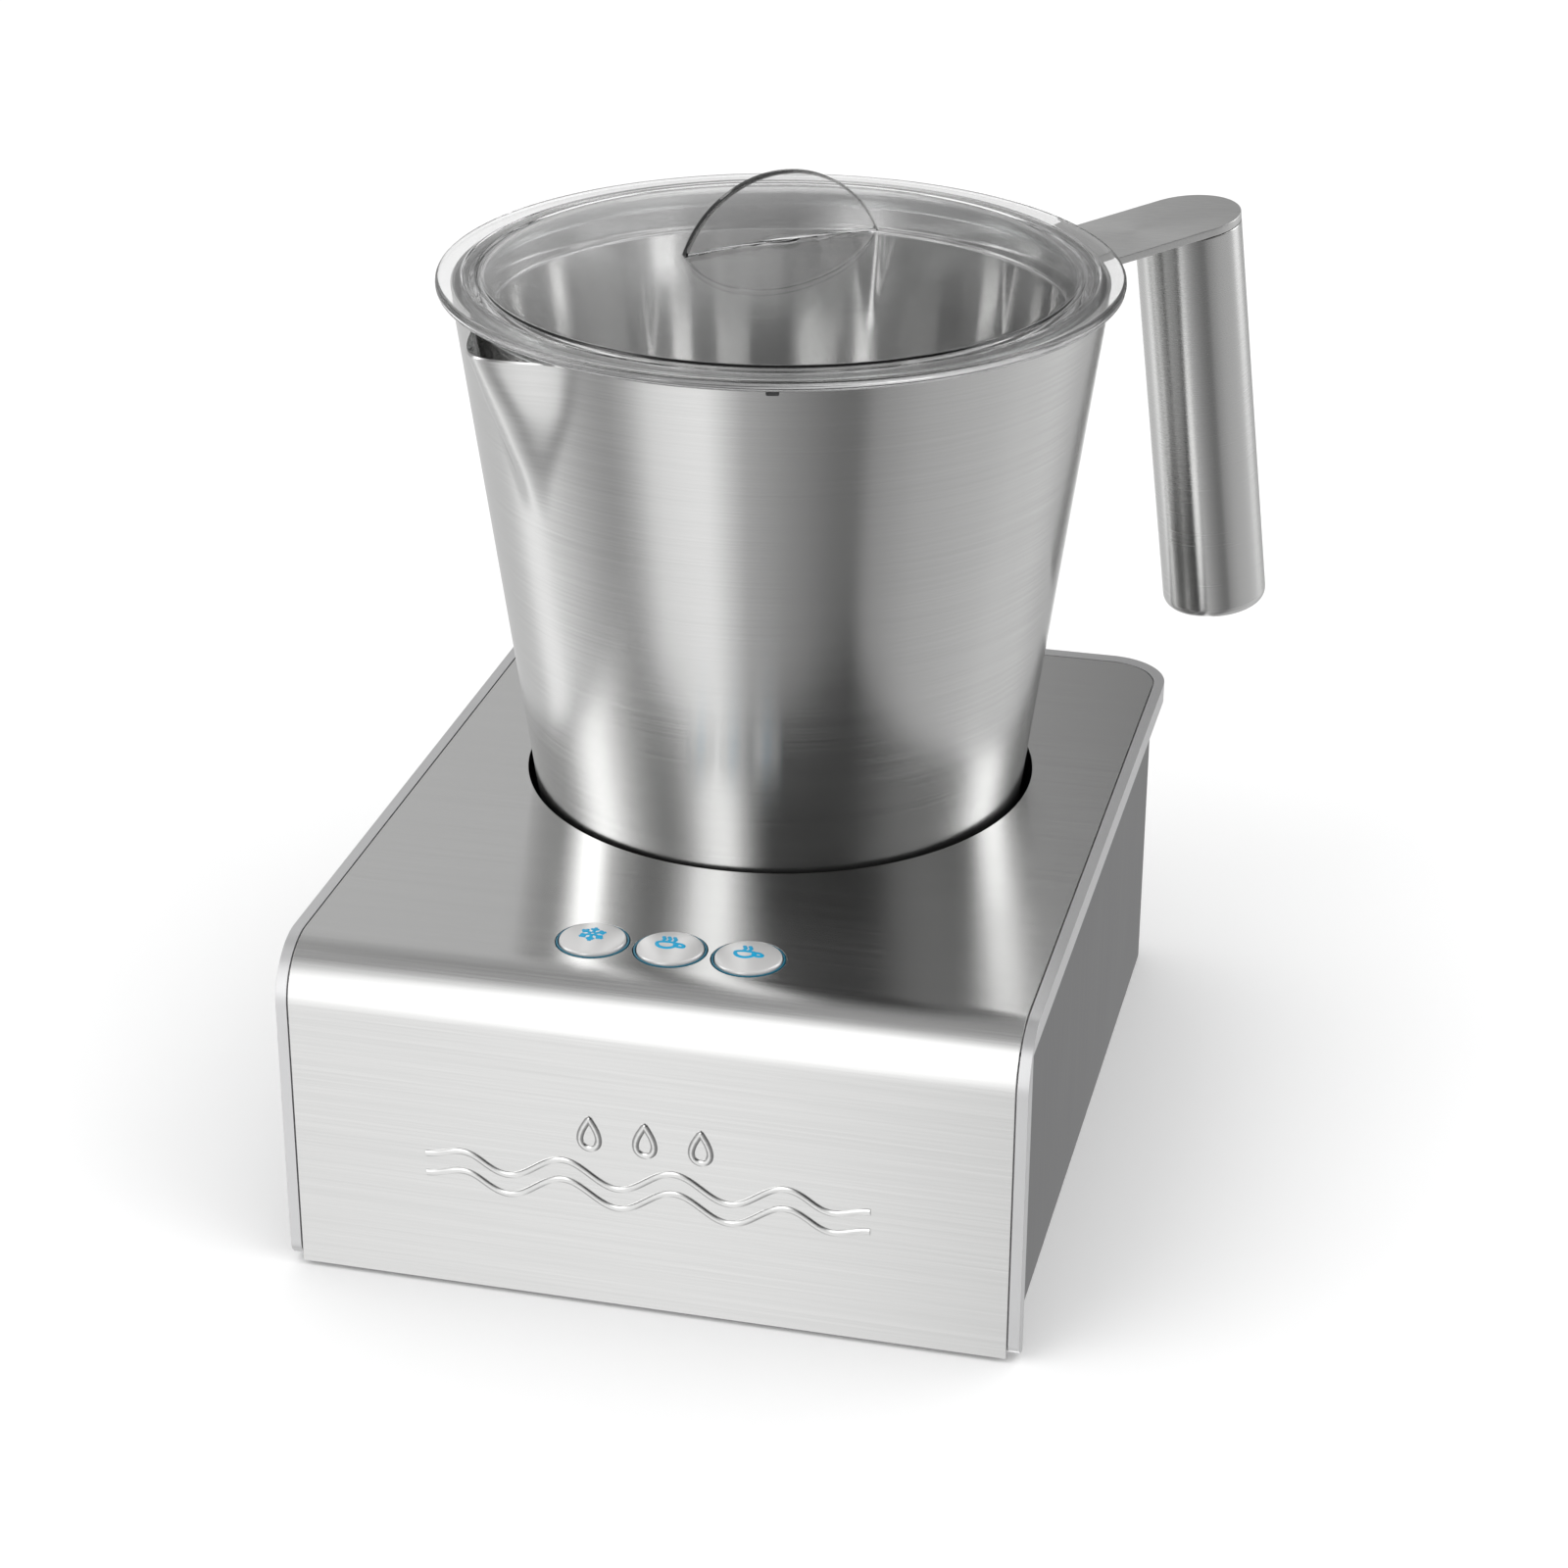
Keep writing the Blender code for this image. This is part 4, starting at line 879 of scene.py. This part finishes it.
def build_lid():
    upper = [(radius * MM, dome_height(radius * MM)) for radius in range(0, 62, 4)]
    lower = [(radius * MM, dome_height(radius * MM, DOME_WALL)) for radius in range(60, -1, -4)]
    edge = softened(
        [
            upper[-1], (62.3 * MM, dome_height(62.3 * MM)), (62.9 * MM, 185.9 * MM), (63.6 * MM, 186.4 * MM),
            (65.6 * MM, 186.4 * MM), (66.0 * MM, 186.1 * MM), (66.5 * MM, 186.4 * MM),
            (LID_RADIUS, LID_UPPER, 1.1 * MM), (LID_RADIUS, LID_UNDER, 1.1 * MM),
            (64.6 * MM, LID_UNDER, 0.5 * MM), (62.2 * MM, SKIRT_BOTTOM, 0.8 * MM),
            (60.4 * MM, SKIRT_BOTTOM, 0.8 * MM),
            (62.2 * MM, dome_height(62.2 * MM, DOME_WALL), 1.2 * MM), lower[0],
        ],
        0.25 * MM, 4,
    )
    lid = revolved("lid_dome", [*upper, *edge[1:-1], *lower], 240)
    rise = GRIP_FOOT - GRIP_CENTRE
    start = math.degrees(math.asin(rise / GRIP_RADIUS))
    grip = prism(
        "grip", arc((0.0, GRIP_CENTRE), GRIP_RADIUS, start, 180 - start, 64),
        -GRIP_HALF_THICKNESS, GRIP_HALF_THICKNESS, "X",
    )
    grip = combined(grip, [], bevel=0.6 * MM, segments=4)
    grip.transform(Matrix.Rotation(HANDLE_ANGLE - math.pi / 2, 4, "Z"))
    lid = combined(lid, [grip], "UNION")
    shown("lid_dome", lid, "lid", "lid_body", ["lid"], angle=45)
    lid.materials.append(LOOKS["fin"])
    for face in lid.polygons:
        across = math.hypot(face.center.x, face.center.y)
        face.material_index = int(across < DOME_RADIUS and face.center.z > dome_height(across) + 0.2 * MM)
    tab = block("lid_stop", (-1.3 * MM, 69.4 * MM, 183.2 * MM), (1.3 * MM, 70.9 * MM, 184.3 * MM))
    stop = baked(combined(tab, [], bevel=0.3 * MM), Matrix.Rotation(STOP_ANGLE, 4, "Z"))
    shown("lid_stop", stop, "rubber", "lid_body")
    seal = softened(
        [
            (66.8 * MM, 183.8 * MM), (66.2 * MM, 182.4 * MM), (66.7 * MM, 181.2 * MM),
            (66.1 * MM, 180.4 * MM), (64.9 * MM, 180.4 * MM), (64.9 * MM, 183.8 * MM),
        ],
        0.4 * MM, 4, True,
    )
    ring = revolved("lid_gasket", seal, 200, ring=True)
    shown("lid_gasket", ring, "silicone", "lid_body", ["lid_seal"])


def build_whisk():
    """The whisk's ring is a fine spring bent round into a circle."""
    turns, per_turn = 46, 12
    points = []
    for step in range(turns * per_turn):
        along = 2 * math.pi * step / (turns * per_turn)
        wound_by = 2 * math.pi * step / per_turn
        reach = WHISK_RING + WHISK_COIL * math.cos(wound_by)
        height = WHISK_HEIGHT + WHISK_COIL * math.sin(wound_by)
        points.append((reach * math.cos(along), reach * math.sin(along), height))
    mesh = wires("whisk_spring", [(points, True)], 0.36 * MM, 2)
    shown("whisk_spring", mesh, "wire", "whisk", ["whisk_coil"])


def paint_frame():
    """Materials for the CAD pieces that stay visible."""
    by_look = {
        "black": [
            "base_plate", "switch_body_1", "switch_body_2", "switch_body_3", "capacitor", "fan_frame",
            "fan_rotor", "whisk_hub",
        ],
        "rubber": ["foot_1", "foot_2", "foot_3", "foot_4"],
        "plunger": ["switch_plunger_1", "switch_plunger_2", "switch_plunger_3"],
        "board": ["control_board", "power_board"],
        "coil": ["induction_coil"],
        "choke": ["choke"],
        "ferrite": ["ferrite_1", "ferrite_2", "ferrite_3", "ferrite_4"],
        "aluminium": ["heat_sink", "sensor_cap"],
        "zinc": [
            "base_screw_1", "base_screw_2", "base_screw_3", "base_screw_4", "motor_shaft", "drive_motor",
            "whisk_pin", "jug_disc",
        ],
        "magnet": ["drive_magnet_1", "drive_magnet_2", "whisk_magnet_1", "whisk_magnet_2"],
        "white": ["coil_carrier", "magnet_rotor", "terminal_block"],
    }
    for look, names in by_look.items():
        for name in names:
            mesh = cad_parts[name].data
            mesh.materials.clear()
            mesh.materials.append(LOOKS[look])


# ---------------------------------------------------------------- studio


def build_camera():
    """The viewpoint is in front of the object, to its right and above it."""
    level = math.cos(CAMERA_TILT)
    forward = Vector((-math.sin(CAMERA_TURN) * level, math.cos(CAMERA_TURN) * level, -math.sin(CAMERA_TILT)))
    right = Vector((math.cos(CAMERA_TURN), math.sin(CAMERA_TURN), 0.0))
    up = right.cross(forward)
    rolled_right = right * math.cos(CAMERA_ROLL) + up * math.sin(CAMERA_ROLL)
    rolled_up = up * math.cos(CAMERA_ROLL) - right * math.sin(CAMERA_ROLL)
    data = bpy.data.cameras.new("camera")
    data.lens = CAMERA_LENS
    data.sensor_width = 36.0
    data.clip_start = 0.01
    data.clip_end = 50.0
    camera = bpy.data.objects.new("camera", data)
    SCENE.collection.objects.link(camera)
    turn = Matrix((rolled_right, rolled_up, -forward)).transposed().to_4x4()
    camera.matrix_world = Matrix.Translation(AXIS + CAMERA_PLACE) @ turn
    SCENE.camera = camera


# Brightness round the studio by compass angle: strip lights in a dim room above the horizon,
# and the pale table below it. Angles are in degrees from +X, anticlockwise from above.
# The stops were set from readings of how bright the photograph's steel is, for its own
# viewpoint. So this isn't a plain studio, and the cover looks nearly black from behind.
ROOM = [
    (-180, 1.6), (-175, 3.0), (-165, 3.0), (-158, 1.0), (-150, 0.55), (-137, 0.2), (-128, 0.3), (-119, 0.9),
    (-112, 2.0), (-101, 2.2), (-94, 1.0), (-88, 0.3), (-82, 0.02), (-62, 0.01), (-42, 0.01), (-32, 0.05),
    (-22, 0.22), (-7, 0.26), (12, 0.18), (23, 0.4), (29, 2.6), (44, 2.6), (51, 0.5), (65, 0.35),
    (80, 0.22), (97, 0.26), (107, 0.6), (128, 0.66), (152, 0.5), (170, 0.45),
]
TABLE = [
    (-180, 0.82), (-164, 0.62), (-153, 0.46), (-143, 0.38), (-134, 0.6), (-126, 1.0), (-104, 1.12),
    (-98, 0.85), (-90, 0.52), (-73, 0.35), (-56, 0.22), (-46, 0.19), (-41, 0.36), (-21, 0.52), (10, 0.64),
    (24, 0.74), (46, 0.72), (60, 0.58), (86, 0.5), (94, 1.7), (106, 1.7), (116, 0.7), (130, 0.66),
    (156, 0.72), (164, 1.2), (173, 1.2),
]

BRIGHTEST = 4.0
CEILING = 0.35
# Heights on the unit sphere over which the table turns into the room, and the room into the ceiling
TABLE_EDGE = (-0.25, 0.0)
CEILING_EDGE = (0.8, 0.95)


def build_world():
    """Rays that a surface has mirrored see the room and the table. All others see plain white."""
    world = bpy.data.worlds.new("studio")
    SCENE.world = world
    world.use_nodes = True
    tree = world.node_tree
    tree.nodes.clear()

    def add(kind, **settings):
        node = tree.nodes.new(kind)
        for key, value in settings.items():
            setattr(node, key, value)
        return node

    def join(source, target):
        tree.links.new(source, target)

    def ramp(stops, source):
        node = add("ShaderNodeValToRGB")
        elements = node.color_ramp.elements
        ends = stops[0][1]
        points = [((angle + 180) / 360, value) for angle, value in stops] + [(1.0, ends)]
        elements[0].position, elements[1].position = points[0][0], points[-1][0]
        for element, (_, value) in zip((elements[0], elements[1]), (points[0], points[-1])):
            element.color = (value / BRIGHTEST, value / BRIGHTEST, value / BRIGHTEST, 1.0)
        for position, value in points[1:-1]:
            element = elements.new(position)
            element.color = (value / BRIGHTEST, value / BRIGHTEST, value / BRIGHTEST, 1.0)
        join(source, node.inputs["Fac"])
        scale = add("ShaderNodeMath", operation="MULTIPLY")
        scale.inputs[1].default_value = BRIGHTEST
        join(node.outputs["Color"], scale.inputs[0])
        return scale.outputs[0]

    def between(source, start, end):
        node = add("ShaderNodeMapRange", interpolation_type="SMOOTHSTEP")
        node.inputs["From Min"].default_value = start
        node.inputs["From Max"].default_value = end
        join(source, node.inputs["Value"])
        return node.outputs["Result"]

    def mixed(factor, low, high):
        node = add("ShaderNodeMix", data_type="FLOAT")
        join(factor, node.inputs["Factor"])
        for socket, value in (("A", low), ("B", high)):
            if isinstance(value, float):
                node.inputs[socket].default_value = value
            else:
                join(value, node.inputs[socket])
        return node.outputs["Result"]

    split = add("ShaderNodeSeparateXYZ")
    join(add("ShaderNodeTexCoord").outputs["Generated"], split.inputs["Vector"])
    compass = add("ShaderNodeMath", operation="ARCTAN2")
    join(split.outputs["Y"], compass.inputs[0])
    join(split.outputs["X"], compass.inputs[1])
    part = add("ShaderNodeMapRange")
    part.inputs["From Min"].default_value = -math.pi
    part.inputs["From Max"].default_value = math.pi
    join(compass.outputs[0], part.inputs["Value"])
    height = split.outputs["Z"]
    room, table = ramp(ROOM, part.outputs["Result"]), ramp(TABLE, part.outputs["Result"])
    sides = mixed(between(height, *TABLE_EDGE), table, room)
    studio = mixed(between(height, *CEILING_EDGE), sides, CEILING)
    path = add("ShaderNodeLightPath")
    mirrored = add("ShaderNodeMath", operation="MULTIPLY", use_clamp=True)
    join(path.outputs["Is Glossy Ray"], mirrored.inputs[0])
    join(path.outputs["Glossy Depth"], mirrored.inputs[1])
    seen = mixed(mirrored.outputs[0], 1.0, studio)
    background = add("ShaderNodeBackground")
    join(seen, background.inputs["Color"])
    join(background.outputs["Background"], add("ShaderNodeOutputWorld").inputs["Surface"])


def build_studio():
    paint = Nodes("floor_white")
    tone = paint.noise((2.0, 2.0, 2.0), detail=2.0)
    shade = paint.tint(paint.spread(tone, 0.0, 1.0), (0.96, 0.96, 0.96), (0.97, 0.97, 0.97))
    paint.link(shade, paint.shader.inputs["Base Color"])
    paint.put(Roughness=0.9, Specular_IOR_Level=0.1)
    corners = (-FLOOR_HALF, -FLOOR_HALF, FLOOR_BOTTOM), (FLOOR_HALF, FLOOR_HALF, FLOOR_TOP)
    mesh = block("floor", *corners)
    mesh.materials.append(paint.material)
    floor = bpy.data.objects.new("floor", mesh)
    SCENE.collection.objects.link(floor)
    floor.visible_glossy = False
    for name, place, size, power in (
        ("key_light", (-0.9, -1.1, 1.6), 1.4, 8.0),
        ("fill_light", (1.3, -0.5, 1.3), 1.2, 5.0),
    ):
        data = bpy.data.lights.new(name, "AREA")
        data.shape = "DISK"
        data.size = size
        data.energy = power
        lamp = bpy.data.objects.new(name, data)
        SCENE.collection.objects.link(lamp)
        lamp.location = place
        lamp.rotation_mode = "QUATERNION"
        lamp.rotation_quaternion = (LIGHT_AIM - Vector(place)).to_track_quat("-Z", "Y")
        lamp.visible_glossy = False
    SCENE.view_settings.view_transform = "Standard"
    SCENE.cycles.max_bounces = 24
    SCENE.cycles.glossy_bounces = 12
    SCENE.cycles.transmission_bounces = 16


build_camera()
build_world()
build_studio()
build_housing()
build_cover()
build_mark()
build_well()
build_sensor_spring()
build_gland()
build_buttons()
build_jug()
build_handle()
build_lid()
build_whisk()
paint_frame()
